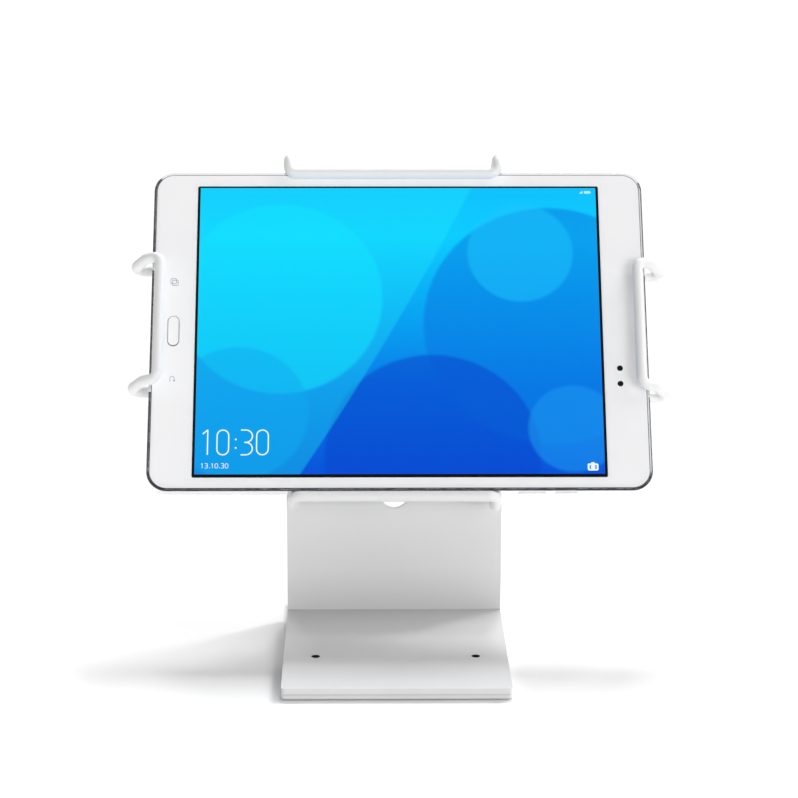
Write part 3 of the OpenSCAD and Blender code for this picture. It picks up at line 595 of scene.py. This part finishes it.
def arc(centre: Point, radius: float, start: float, end: float, steps: int = 8) -> list[Point]:
    """Gives points along a round stretch.

    Args:
        centre: Middle of the arc.
        radius: Its radius.
        start: Angle of its first point, in degrees.
        end: Angle of its last point, in degrees.
        steps: Number of straight steps.

    Returns:
        The points, in order.
    """
    turns = [math.radians(start + (end - start) * i / steps) for i in range(steps + 1)]
    return [(centre[0] + radius * math.cos(a), centre[1] + radius * math.sin(a)) for a in turns]


def rounded_box(middle: Point, width: float, height: float, radius: float) -> list[Point]:
    """Gives the closed outline of a box with round corners.

    Args:
        middle: Middle of the box.
        width: Its width.
        height: Its height.
        radius: Radius of its corners.

    Returns:
        The outline, anticlockwise.
    """
    u, v = middle
    du, dv = width / 2 - radius, height / 2 - radius
    corners = [(u + du, v + dv), (u - du, v + dv), (u - du, v - dv), (u + du, v - dv)]
    return [point for i, corner in enumerate(corners)
            for point in arc(corner, radius, 90 * i, 90 * (i + 1), CORNER_STEPS)]


@dataclass
class Marks:
    """Thin closed marks drawn on the tablet's face, in millimetres."""

    plane: LeanPlane
    front: float
    thick: float
    mesh: bmesh.types.BMesh = field(default_factory=bmesh.new)

    def fill(self, outline: Sequence[Point]) -> None:
        """Fills a closed outline.

        Args:
            outline: Its points, in order.
        """
        rows = [[self.mesh.verts.new(self.plane.at(u, v, d)) for u, v in outline]
                for d in (self.front, self.front + self.thick)]
        for row in rows:
            self.mesh.faces.new(row)
        for i in range(len(outline)):
            self.mesh.faces.new((rows[0][i - 1], rows[0][i], rows[1][i], rows[1][i - 1]))

    def stroke(self, path: Sequence[Point], width: float, closed: bool = False) -> None:
        """Draws a line of even width along a path.

        Args:
            path: Points of its middle line.
            width: Its width.
            closed: Whether it ends where it starts.
        """
        points = [p for i, p in enumerate(path) if i == 0 or math.dist(p, path[i - 1]) > SAME_POINT]
        if closed and math.dist(points[0], points[-1]) < SAME_POINT:
            points.pop()
        count = len(points)
        rings = []
        for i, (u, v) in enumerate(points):
            before = points[i - 1] if closed or i > 0 else points[i]
            after = points[(i + 1) % count] if closed or i < count - 1 else points[i]
            into = Vector((u - before[0], v - before[1]))
            out = Vector((after[0] - u, after[1] - v))
            along = (into.normalized() + out.normalized()).normalized()
            lean = max(LEAST_LEAN, along.dot(out.normalized() if out.length else into.normalized()))
            side = Vector((-along.y, along.x)) * (width / 2 / lean)
            ring = [(side, self.front), (-side, self.front),
                    (-side, self.front + self.thick), (side, self.front + self.thick)]
            rings.append([self.mesh.verts.new(self.plane.at(u + s.x, v + s.y, d)) for s, d in ring])
        for i in range(count if closed else count - 1):
            here, there = rings[i], rings[(i + 1) % count]
            for k in range(4):
                self.mesh.faces.new((here[k], here[k - 1], there[k - 1], there[k]))
        if not closed:
            self.mesh.faces.new(rings[0])
            self.mesh.faces.new(rings[-1])


@dataclass(frozen=True)
class Figures:
    """A row of figures drawn in an even round stroke, in millimetres.

    The proportions below the sizes are shares of the width, of the height, of the pitch or of the
    stroke. A dot is closed after its last step.
    """

    width: float
    height: float
    pitch: float
    line: float
    stem: float = 0.55
    flag: Point = (0.12, 0.84)
    stem_past: float = 0.3
    bar: float = 0.3
    dot_left: float = 0.25
    dot_radius: float = 0.75
    dot_pitch: float = 0.5
    dot_end: float = 330.0
    dot_steps: int = 11
    point_rises: tuple[float, ...] = (0.06,)
    colon_rises: tuple[float, ...] = (0.28, 0.62)

    def draw(self, marks: Marks, figure: str, corner: Point) -> None:
        """Draws one figure.

        Args:
            marks: Layer that takes it.
            figure: The figure, or a colon or a full stop.
            corner: Its lower left corner.
        """
        u, v = corner
        half = self.width / 2
        top = v + self.height
        if figure == "0":
            bowls = arc((u + half, v + half), half, 180, 360) + arc((u + half, top - half), half, 0, 180)
            marks.stroke(bowls, self.line, closed=True)
        elif figure == "1":
            stem = u + self.width * self.stem
            flag = (u + self.width * self.flag[0], v + self.height * self.flag[1])
            marks.stroke([flag, (stem, top)], self.line)
            marks.stroke([(stem, top + self.line * self.stem_past), (stem, v)], self.line)
        elif figure == "3":
            bowl = self.height / 4
            bar = u + self.width * self.bar
            for level, lead, tail in ((v + bowl, u, bar), (top - bowl, bar, u)):
                curve = arc((u + self.width - bowl, level), bowl, -90, 90)
                marks.stroke([(lead, level - bowl), *curve, (tail, level + bowl)], self.line)
        else:
            for rise in self.colon_rises if figure == ":" else self.point_rises:
                spot = (u + self.width * self.dot_left, v + self.height * rise)
                marks.fill(arc(spot, self.line * self.dot_radius, 0, self.dot_end, self.dot_steps))

    def row(self, marks: Marks, words: str, corner: Point) -> None:
        """Draws a row of figures.

        Args:
            marks: Layer that takes them.
            words: The figures.
            corner: Lower left corner of the row.
        """
        u, v = corner
        for figure in words:
            self.draw(marks, figure, (u, v))
            u += self.pitch if figure.isdigit() else self.pitch * self.dot_pitch


@dataclass(frozen=True)
class Disc:
    """One of the large soft discs of the screen's picture, in millimetres on the screen."""

    u: float
    v: float
    radius: float
    colour: str
    share: float
    soft: float = 1.2


@dataclass(frozen=True)
class LitPanel(Finish):
    """A lit liquid crystal panel that shows a plain picture of overlapping discs."""

    light: float = 1.0
    border_colour: str = "#000000"
    plane: LeanPlane | None = None
    half_u: float = 99.6
    half_v: float = 76.35
    border: float = 1.3
    stops: tuple[tuple[float, str], ...] = (
        (0.0, "#0050DA"),
        (0.3, "#0078E6"),
        (0.62, "#00AEF6"),
        (0.82, "#04CCFE"),
        (1.0, "#08C0FC"),
    )
    discs: tuple[Disc, ...] = ()

    def surface(self, tree: bpy.types.NodeTree, shader: bpy.types.Node) -> None:
        """Draws the picture in light, inside a black border.

        Args:
            tree: Node tree of the material.
            shader: Its surface shader.
        """
        place = add_node(tree, "ShaderNodeTexCoord").outputs["Object"]
        u, v = self.plane.measure(tree, place)
        spot = add_node(tree, "ShaderNodeCombineXYZ", {0: u, 1: v}).outputs[0]
        height = add_node(tree, "ShaderNodeMapRange", {
            "Value": v, "From Min": -self.half_v, "From Max": self.half_v,
        })
        ramp = add_node(tree, "ShaderNodeValToRGB", {0: height.outputs[0]})
        steps = ramp.color_ramp.elements
        ready = len(steps)
        for i, (position, colour) in enumerate(self.stops):
            step = steps[i] if i < ready else steps.new(position)
            step.position = position
            step.color = linear(colour)
        picture = ramp.outputs[0]
        for disc in self.discs:
            away = add_node(tree, "ShaderNodeVectorMath", {
                0: spot, 1: (disc.u, disc.v, 0.0),
            }, operation="DISTANCE")
            inside = add_node(tree, "ShaderNodeMapRange", {
                "Value": away.outputs["Value"],
                "From Min": disc.radius - disc.soft,
                "From Max": disc.radius + disc.soft,
                "To Min": disc.share,
                "To Max": 0.0,
            }, interpolation_type="SMOOTHSTEP")
            picture = add_node(tree, "ShaderNodeMix", {
                0: inside.outputs[0], 6: picture, 7: linear(disc.colour),
            }, data_type="RGBA").outputs[2]
        edges = []
        for value, half in ((u, self.half_u), (v, self.half_v)):
            size = add_node(tree, "ShaderNodeMath", {0: value}, operation="ABSOLUTE")
            edges.append(add_node(tree, "ShaderNodeMath", {
                0: size.outputs[0], 1: half - self.border,
            }, operation="LESS_THAN").outputs[0])
        lit = add_node(tree, "ShaderNodeMath", {0: edges[0], 1: edges[1]}, operation="MULTIPLY")
        shown = add_node(tree, "ShaderNodeMix", {
            0: lit.outputs[0], 6: linear(self.border_colour), 7: picture,
        }, data_type="RGBA")
        shader.inputs["Emission Strength"].default_value = self.light
        tree.links.new(shown.outputs[2], shader.inputs["Emission Color"])


@dataclass
class StandBody:
    """The bent sheet, its weight plate and what it rests on.

    A stroke is a darker line: its radius and softness in millimetres, and the share of the darker colour.
    The fold's two strokes are painted shade in the inside corner, and the seam's is a thin coat.
    """

    sheet_edge: float = 0.45
    plate_edge: float = 0.3
    sheet_thick: float = 3.0
    riser_front: float = 67.0
    hole_rim: float = 0.06
    hole_soft: float = 0.04
    hole_colour: str = "#141516"
    # Painted shade in the inside corner of the fold: a thin dark line and a soft darker zone
    fold_shade_line: tuple[float, float, float] = (0.45, 0.25, 0.75)
    fold_shade: tuple[float, float, float] = (11.0, 11.0, 0.2)
    seam_stroke: tuple[float, float, float] = (0.35, 0.2, 0.3)

    def coat(self) -> SheetCoat:
        """Gives the powder coat with its bare holes, its painted shade in the fold and its thin seam.

        Returns:
            The coat.
        """
        bolts = next(m for m in frame["record"]["mounts"] if m["name"] == "counter_screws")
        half_step = bolts["dims"]["spacing_x_mm"] / 2 * MM
        radius = bolts["dims"]["hole_r_mm"] + self.hole_rim
        level = Vector((1.0, 1.0, 0.0))
        lines = []
        for side in (-1, 1):
            hole = Vector(bolts["pos_m"]) + Vector((side * half_step, 0.0, 0.0))
            lines.append(ThinCoatAndShadeLine(hole, level, radius, self.hole_soft, 1.0, self.hole_colour))
        weight_low, weight_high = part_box("base_weight")
        fold = Vector((0.0, self.riser_front * MM, weight_high[2] + self.sheet_thick * MM))
        seam = Vector((0.0, weight_low[1], weight_high[2]))
        upright = Vector((0.0, 1.0, 1.0))
        # The fold's line and its soft zone are painted shade in the inside corner; the seam's line is a thin coat.
        for through, stroke in (
            (fold, self.fold_shade_line), (fold, self.fold_shade), (seam, self.seam_stroke),
        ):
            lines.append(ThinCoatAndShadeLine(through, upright, *stroke))
        named = vars(POWDER_COAT) | {"name": "powder_coat_on_sheet_with_painted_shade"}
        return SheetCoat(**named, lines=tuple(lines))

    def dress(self) -> None:
        """Puts the finishes on."""
        dress(self.coat(), "stand_frame", "base_weight")
        dress(PALE_RUBBER, "base_pad")
        dress(ZINC, "weight_screws")
        ease_edges(self.sheet_edge, "stand_frame")
        ease_edges(self.plate_edge, "base_weight")


@dataclass
class Holder:
    """The case behind the tablet, with its guides, fasteners and key lock."""

    shell_edge: float = 0.6
    small_edge: float = 0.15

    def dress(self) -> None:
        """Puts the finishes on."""
        dress(POWDER_COAT, "holder_shell", "front_plate")
        dress(RUBBER, "grip_pads")
        dress(NYLON, "left_guide", "right_guide", "top_guide", "bottom_guide")
        dress(ZINC, "plate_screws", "vesa_screws", "lock_nut", "lock_spindle", "clamp_plate")
        dress(BRASS, "vesa_inserts", "spindle_bush")
        dress(CHROME, "lock_body", "lock_plug")
        ease_edges(self.shell_edge, "holder_shell")
        ease_edges(self.small_edge, "front_plate", "lock_body", "lock_plug", "vesa_screws")


@dataclass
class Arms:
    """The four bent rods that hold the tablet, and their stop pins."""

    sides: tuple[str, ...] = ("left", "right", "top", "bottom")

    def dress(self) -> None:
        """Puts the finishes on."""
        dress(ROD_COAT, *(f"{side}_arm" for side in self.sides))
        dress(ZINC, *(f"{side}_stop_pins" for side in self.sides))


@dataclass
class Tablet:
    """The tablet: its glass, rim, cover and keys, and what its screen shows.

    Places are in millimetres from the tablet's middle, to the right and up the slope.
    """

    plane: LeanPlane
    glass_front: float = -3.75
    mark_proud: float = 0.02
    mark_thick: float = 0.03
    glass_edge: float = 0.2
    rim_edge: float = 0.18
    cover_edge: float = 0.2
    home_u: float = -110.1
    recents_v: float = 24.4
    back_v: float = -26.4
    icon_line: float = 0.34
    button_ring: float = 0.35
    clock: Figures = Figures(width=5.6, height=12.6, pitch=7.6, line=0.6)
    clock_corner: Point = (-95.3, -65.2)
    date: Figures = Figures(width=1.35, height=2.3, pitch=1.95, line=0.27)
    date_corner: Point = (-95.3, -71.9)
    # Middle and radius of the disc that paints a reflection across the screen
    sheen_centre: Point = (-1311.6, 732.9)
    sheen_radius: float = 1500.0

    def dress(self) -> None:
        """Puts the finishes on."""
        screen = LitPanel(
            "lit_liquid_crystal_panel", "#020304", "#020304", 0.03, grain_mm=2.0, depth_mm=0.0,
            plane=self.plane,
            discs=(
                Disc(74.0, 2.0, 62.0, "#0078E2", 0.6),
                Disc(-58.0, 16.0, 50.0, "#06DCFF", 0.5),
                Disc(16.0, -66.0, 52.0, "#0046CE", 0.65),
                Disc(-78.0, -44.0, 34.0, "#0088EC", 0.5),
                Disc(60.0, 40.0, 26.0, "#18C6FF", 0.45),
                Disc(84.0, -52.0, 22.0, "#1A9CF4", 0.45),
                # The sheen is a painted reflection of the studio: a disc so large that its edge
                # crosses the screen as a slanted line
                Disc(*self.sheen_centre, self.sheen_radius, "#20FDFF", 0.2, 0.8),
            ),
        )
        dress(screen, "tablet_display")
        # The screen's light is kept off the rods and the bezel, as none of it shows beside the lamps
        frame["nodes"]["tablet_display"].visible_diffuse = False
        panel = LeanPlane.around("tablet_front_panel")
        gasketed = EdgedGlass(**vars(GLASS) | {"name": "gasketed_cover_glass"}, plane=panel)
        dress(gasketed, "tablet_front_panel")
        button = LeanPlane.around("tablet_home_button")
        # The ring is light grey, turning dark towards its lower end as painted shade of the gap under the button.
        ringed = EdgedGlass(
            **vars(GLASS) | {"name": "ringed_button_glass"},
            plane=button,
            corner_mm=button.half.x / MM,
            line_mm=self.button_ring,
            line_colour="#B4B6BA",
            low_shade_colour="#3E3F44",
        )
        dress(ringed, "tablet_home_button")
        dress(RIM, "tablet_rim", "tablet_camera_ring")
        dress(COVER, "tablet_rear_cover", "tablet_power_key", "tablet_volume_key")
        dress(LENS, "tablet_camera_lens")
        dress(SENSOR, "tablet_sensors")
        dress(ZINC, "tablet_key_pin")
        dress(FOIL, "tablet_battery")
        dress(BOARD, "tablet_main_board")
        ease_edges(self.glass_edge, "tablet_front_panel", "tablet_home_button")
        ease_edges(self.rim_edge, "tablet_rim")
        ease_edges(self.cover_edge, "tablet_rear_cover", "tablet_camera_ring")

    def sheet(self) -> Marks:
        """Gives an empty layer of marks on the glass.

        Returns:
            The layer.
        """
        return Marks(self.plane, self.glass_front - self.mark_proud, self.mark_thick)

    def build(self) -> None:
        """Draws the marks on the glass and on the lit screen."""
        clock = self.sheet()
        self.clock.row(clock, "10:30", self.clock_corner)
        mesh_piece("screen_clock", clock.mesh, PIXELS, "stand")
        date = self.sheet()
        self.date.row(date, "13.10.30", self.date_corner)
        mesh_piece("screen_date", date.mesh, PIXELS, "stand")
        self.build_camera_mark()
        self.build_charge_mark()
        self.build_touch_marks()

    def build_camera_mark(
        self, middle: Point = (92.6, -71.6), width: float = 5.2, height: float = 3.6,
    ) -> None:
        """Draws the small camera mark in the screen's corner.

        Args:
            middle: Middle of its body.
            width: Width of its body.
            height: Height of its body.
        """
        line, corner = 0.9, 0.35
        lens, lens_line, lens_end, lens_steps = 0.62, 1.0, 350, 20
        hump_foot, hump_top, hump_rise = 1.0, 0.7, 0.6
        u, v = middle
        top = v + height / 2
        marks = self.sheet()
        marks.stroke(rounded_box(middle, width - line, height - line, corner), line, closed=True)
        marks.stroke(arc(middle, lens, 0, lens_end, lens_steps), lens_line, closed=True)
        marks.fill([(u - hump_foot, top), (u + hump_foot, top),
                    (u + hump_top, top + hump_rise), (u - hump_top, top + hump_rise)])
        mesh_piece("screen_camera_mark", marks.mesh, PIXELS, "stand")

    def build_charge_mark(
        self, middle: Point = (94.1, 72.7), width: float = 3.0, height: float = 1.3,
    ) -> None:
        """Draws the small battery mark at the top of the screen, with a signal wedge beside it.

        Args:
            middle: Middle of the battery.
            width: Its width.
            height: Its height.
        """
        corner, tip_corner = 0.25, 0.1
        tip_width, tip_share, tip_step = 0.3, 0.5, 0.25
        wedge_step, wedge_width, wedge_share = 2.4, 1.6, 0.7
        u, v = middle
        tip = (u + width / 2 + tip_step, v)
        left = u - width / 2 - wedge_step
        right, low = left + wedge_width, v - height / 2
        marks = self.sheet()
        marks.fill(rounded_box(middle, width, height, corner))
        marks.fill(rounded_box(tip, tip_width, height * tip_share, tip_corner))
        marks.fill([(left, low), (right, low), (right, v + height * wedge_share)])
        mesh_piece("screen_charge_mark", marks.mesh, CYAN_PIXELS, "stand")

    def build_touch_marks(self) -> None:
        """Prints the marks of the two touch keys beside the home button."""
        size, corner, shift = 2.7, 0.45, 0.85
        bend, rise, fall, neck = 1.0, 0.4, 1.4, 0.6
        head, head_top, head_tip = 0.75, 0.5, 1.5
        marks = self.sheet()
        u, v = self.home_u, self.recents_v
        for step in (-shift / 2, shift / 2):
            box = rounded_box((u + step, v - step), size, size, corner)
            marks.stroke(box, self.icon_line, closed=True)
        v = self.back_v
        turn = arc((u, v + rise), bend, 180, 0)
        marks.stroke([(u - bend, v - fall), (u - bend, v + rise), *turn, (u + bend, v - neck)],
                     self.icon_line)
        marks.fill([(u + bend - head, v - head_top), (u + bend, v - head_tip),
                    (u + bend + head, v - head_top)])
        mesh_piece("touch_key_marks", marks.mesh, INK, "stand")


@dataclass(frozen=True)
class Lamp:
    """A broad, even light: where it comes from, its strength, and its width in the sky in degrees."""

    name: str
    source: tuple[float, float, float]
    light: float
    spread: float


@dataclass(frozen=True)
class Zone:
    """A box on the tablet's face, or past its edges, in millimetres from the face's middle."""

    left: float
    right: float
    low: float
    high: float

    def corners(self) -> list[Point]:
        """Gives its corners.

        Returns:
            The corners, clockwise from the upper right one.
        """
        return [
            (self.right, self.high), (self.right, self.low),
            (self.left, self.low), (self.left, self.high),
        ]


@dataclass
class Studio:
    """The pale floor, the soft light and the camera.

    The floor, the cards' distance and the paper's light are in metres, the zones and the camera's place
    in millimetres, and angles in degrees.
    """

    floor_half: float = 30.0
    floor_drop: float = 0.0002
    world_light: float = 0.28
    lamps: tuple[Lamp, ...] = (
        Lamp("window_left", (-0.2, 0.75, 1.0), 0.34, 9.0),
        Lamp("window_middle", (0.15, 0.75, 1.0), 0.79, 9.0),
        Lamp("window_right", (0.5, 0.75, 1.0), 0.33, 9.0),
        Lamp("window_end", (0.85, 0.67, 1.0), 1.02, 10.0),
        Lamp("ceiling", (0.9, 0.0, 1.0), 0.72, 30.0),
        Lamp("front_fill", (2.0, -4.0, 1.0), 1.22, 30.0),
    )
    screen_zone: Zone = Zone(-100.1, 100.1, -77.2, 76.5)
    rim_inside: Zone = Zone(-119.2, 120.4, -80.8, 81.6)
    rim_outside: Zone = Zone(-124.0, 124.0, -88.0, 86.0)
    rim_corner: float = 8.8
    rim_start: float = 135.0
    rim_end: float = 30.0
    card_away: float = 1.2
    paper_light: float = 26.0
    paper_spot: tuple[float, float, float] = (-0.3, 0.0, 1.5)
    paper_reach: float = 0.19
    paper_blend: float = 0.4
    paper_lamp: float = 0.05
    image_px: float = 798.0
    focal_px: float = 2534.0
    sensor: float = 36.0
    far: float = 200.0
    eye: tuple[float, float, float] = (-13.8, -1122.6, 409.6)
    yaw: float = 0.77
    pitch: float = -14.0
    roll: float = -0.12

    def build(self) -> None:
        """Sets the floor, world, lamps, cards and camera."""
        self.build_floor()
        self.build_world()
        for lamp in self.lamps:
            self.build_lamp(lamp)
        self.build_paper_light()
        self.build_cards()
        self.build_camera()
        bpy.context.scene.view_settings.view_transform = "Standard"

    def lay(self, name: str, corners: Iterable[Sequence[float]], finish: Finish) -> bpy.types.Object:
        """Adds a flat sheet to the scene, for the studio.

        Args:
            name: Name of the sheet.
            corners: Its corners, in order.
            finish: Its finish.

        Returns:
            The sheet.
        """
        mesh = bmesh.new()
        mesh.faces.new([mesh.verts.new(corner) for corner in corners])
        sheet = add_mesh(name, mesh, finish)
        return sheet

    def build_floor(self) -> None:
        """Lays a large sheet of white studio paper under the object."""
        half, drop = self.floor_half, self.floor_drop
        ends = [(-1, -1), (1, -1), (1, 1), (-1, 1)]
        self.lay("studio_floor", [(x * half, y * half, -drop) for x, y in ends], PAPER)

    def build_world(self) -> None:
        """Lights the object from all round, and shows white where nothing stands."""
        world = bpy.data.worlds.new("studio")
        world.use_nodes = True
        tree = world.node_tree
        tree.nodes.clear()
        ray = add_node(tree, "ShaderNodeLightPath")
        seen = ray.outputs["Is Camera Ray"]
        for name in ("Is Glossy Ray", "Is Transmission Ray"):
            seen = add_node(tree, "ShaderNodeMath", {
                0: seen, 1: ray.outputs[name],
            }, operation="MAXIMUM").outputs[0]
        level = add_node(tree, "ShaderNodeMapRange", {
            "Value": seen, "To Min": self.world_light, "To Max": 1.0,
        })
        shown = add_node(tree, "ShaderNodeBackground", {
            "Color": linear("#FFFFFF"), "Strength": level.outputs[0],
        })
        add_node(tree, "ShaderNodeOutputWorld", {"Surface": shown.outputs[0]})
        bpy.context.scene.world = world

    def build_lamp(self, lamp: Lamp) -> None:
        """Adds a broad, even light.

        Args:
            lamp: The light.
        """
        data = bpy.data.lights.new(lamp.name, "SUN")
        data.energy = lamp.light
        data.angle = math.radians(lamp.spread)
        placed = bpy.data.objects.new(lamp.name, data)
        placed.rotation_euler = (-Vector(lamp.source)).to_track_quat("-Z", "Y").to_euler()
        bpy.context.scene.collection.objects.link(placed)

    def build_paper_light(self) -> None:
        """Lights the paper beside the object from above, so that it stays white there."""
        data = bpy.data.lights.new("paper_light", "SPOT")
        data.energy = self.paper_light
        data.spot_size = 2 * math.atan(self.paper_reach / self.paper_spot[2])
        data.spot_blend = self.paper_blend
        data.shadow_soft_size = self.paper_lamp
        placed = bpy.data.objects.new("paper_light", data)
        placed.location = self.paper_spot
        bpy.context.scene.collection.objects.link(placed)

    def build_cards(self) -> None:
        """Hangs a dark card for the screen, and one for the rim's left, lower and right sides."""
        self.hang("card_screen", self.screen_zone.corners())
        zone, corner = self.rim_inside, self.rim_corner
        left, right = zone.left + corner, zone.right - corner
        low, high = zone.low + corner, zone.high - corner
        rounds = (
            ((left, high), self.rim_start, 180),
            ((left, low), 180, 270),
            ((right, low), 270, 360),
            ((right, high), 0, self.rim_end),
        )
        inside = [point for middle, start, end in rounds for point in arc(middle, corner, start, end)]
        self.hang("card_rim", inside + self.rim_outside.corners())

    def hang(self, name: str, outline: Sequence[Point]) -> None:
        """Hangs a dark card that only gloss sees, where the tablet's face mirrors it to the camera.

        Args:
            name: Name of the card.
            outline: What its mirror image fills on the face, in millimetres from the face's middle.
        """
        face = LeanPlane.around("tablet_front_panel")
        eye = (Vector(self.eye) * MM - face.centre) / MM
        eye_u, eye_v = face.across.dot(eye), face.up.dot(eye)
        away = self.card_away / MM
        stretch = away / -face.back.dot(eye)
        corners = [face.at(u + (u - eye_u) * stretch, v + (v - eye_v) * stretch, -away)
                   for u, v in outline]
        card = self.lay(name, corners, DARK_CARD)
        card.visible_camera = False
        card.visible_diffuse = False
        card.visible_shadow = False
        card.visible_transmission = False

    def build_camera(self) -> None:
        """Stands the camera where the photograph was taken from."""
        yaw, pitch, roll = (math.radians(a) for a in (self.yaw, self.pitch, self.roll))
        level = math.cos(pitch)
        ahead = Vector((math.sin(yaw) * level, math.cos(yaw) * level, math.sin(pitch)))
        right = Vector((math.cos(yaw), -math.sin(yaw), 0.0))
        down = ahead.cross(right)
        side = right * math.cos(roll) + down * math.sin(roll)
        under = down * math.cos(roll) - right * math.sin(roll)
        data = bpy.data.cameras.new("photo_camera")
        data.sensor_fit = "HORIZONTAL"
        data.sensor_width = self.sensor
        data.lens = self.sensor * self.focal_px / self.image_px
        data.clip_end = self.far
        camera = bpy.data.objects.new("photo_camera", data)
        turn = Matrix((side, -under, -ahead)).transposed().to_4x4()
        camera.matrix_world = Matrix.Translation(Vector(self.eye) * MM) @ turn
        bpy.context.scene.collection.objects.link(camera)
        bpy.context.scene.camera = camera


def main() -> None:
    """Dresses the object and sets the studio around it."""
    logging.basicConfig(level=logging.INFO, format="%(name)s %(message)s")
    StandBody().dress()
    Holder().dress()
    Arms().dress()
    tablet = Tablet(LeanPlane.around("tablet_rim", "tablet_front_panel", "tablet_rear_cover"))
    tablet.dress()
    tablet.build()
    Studio().build()


if __name__ == "__main__":
    main()
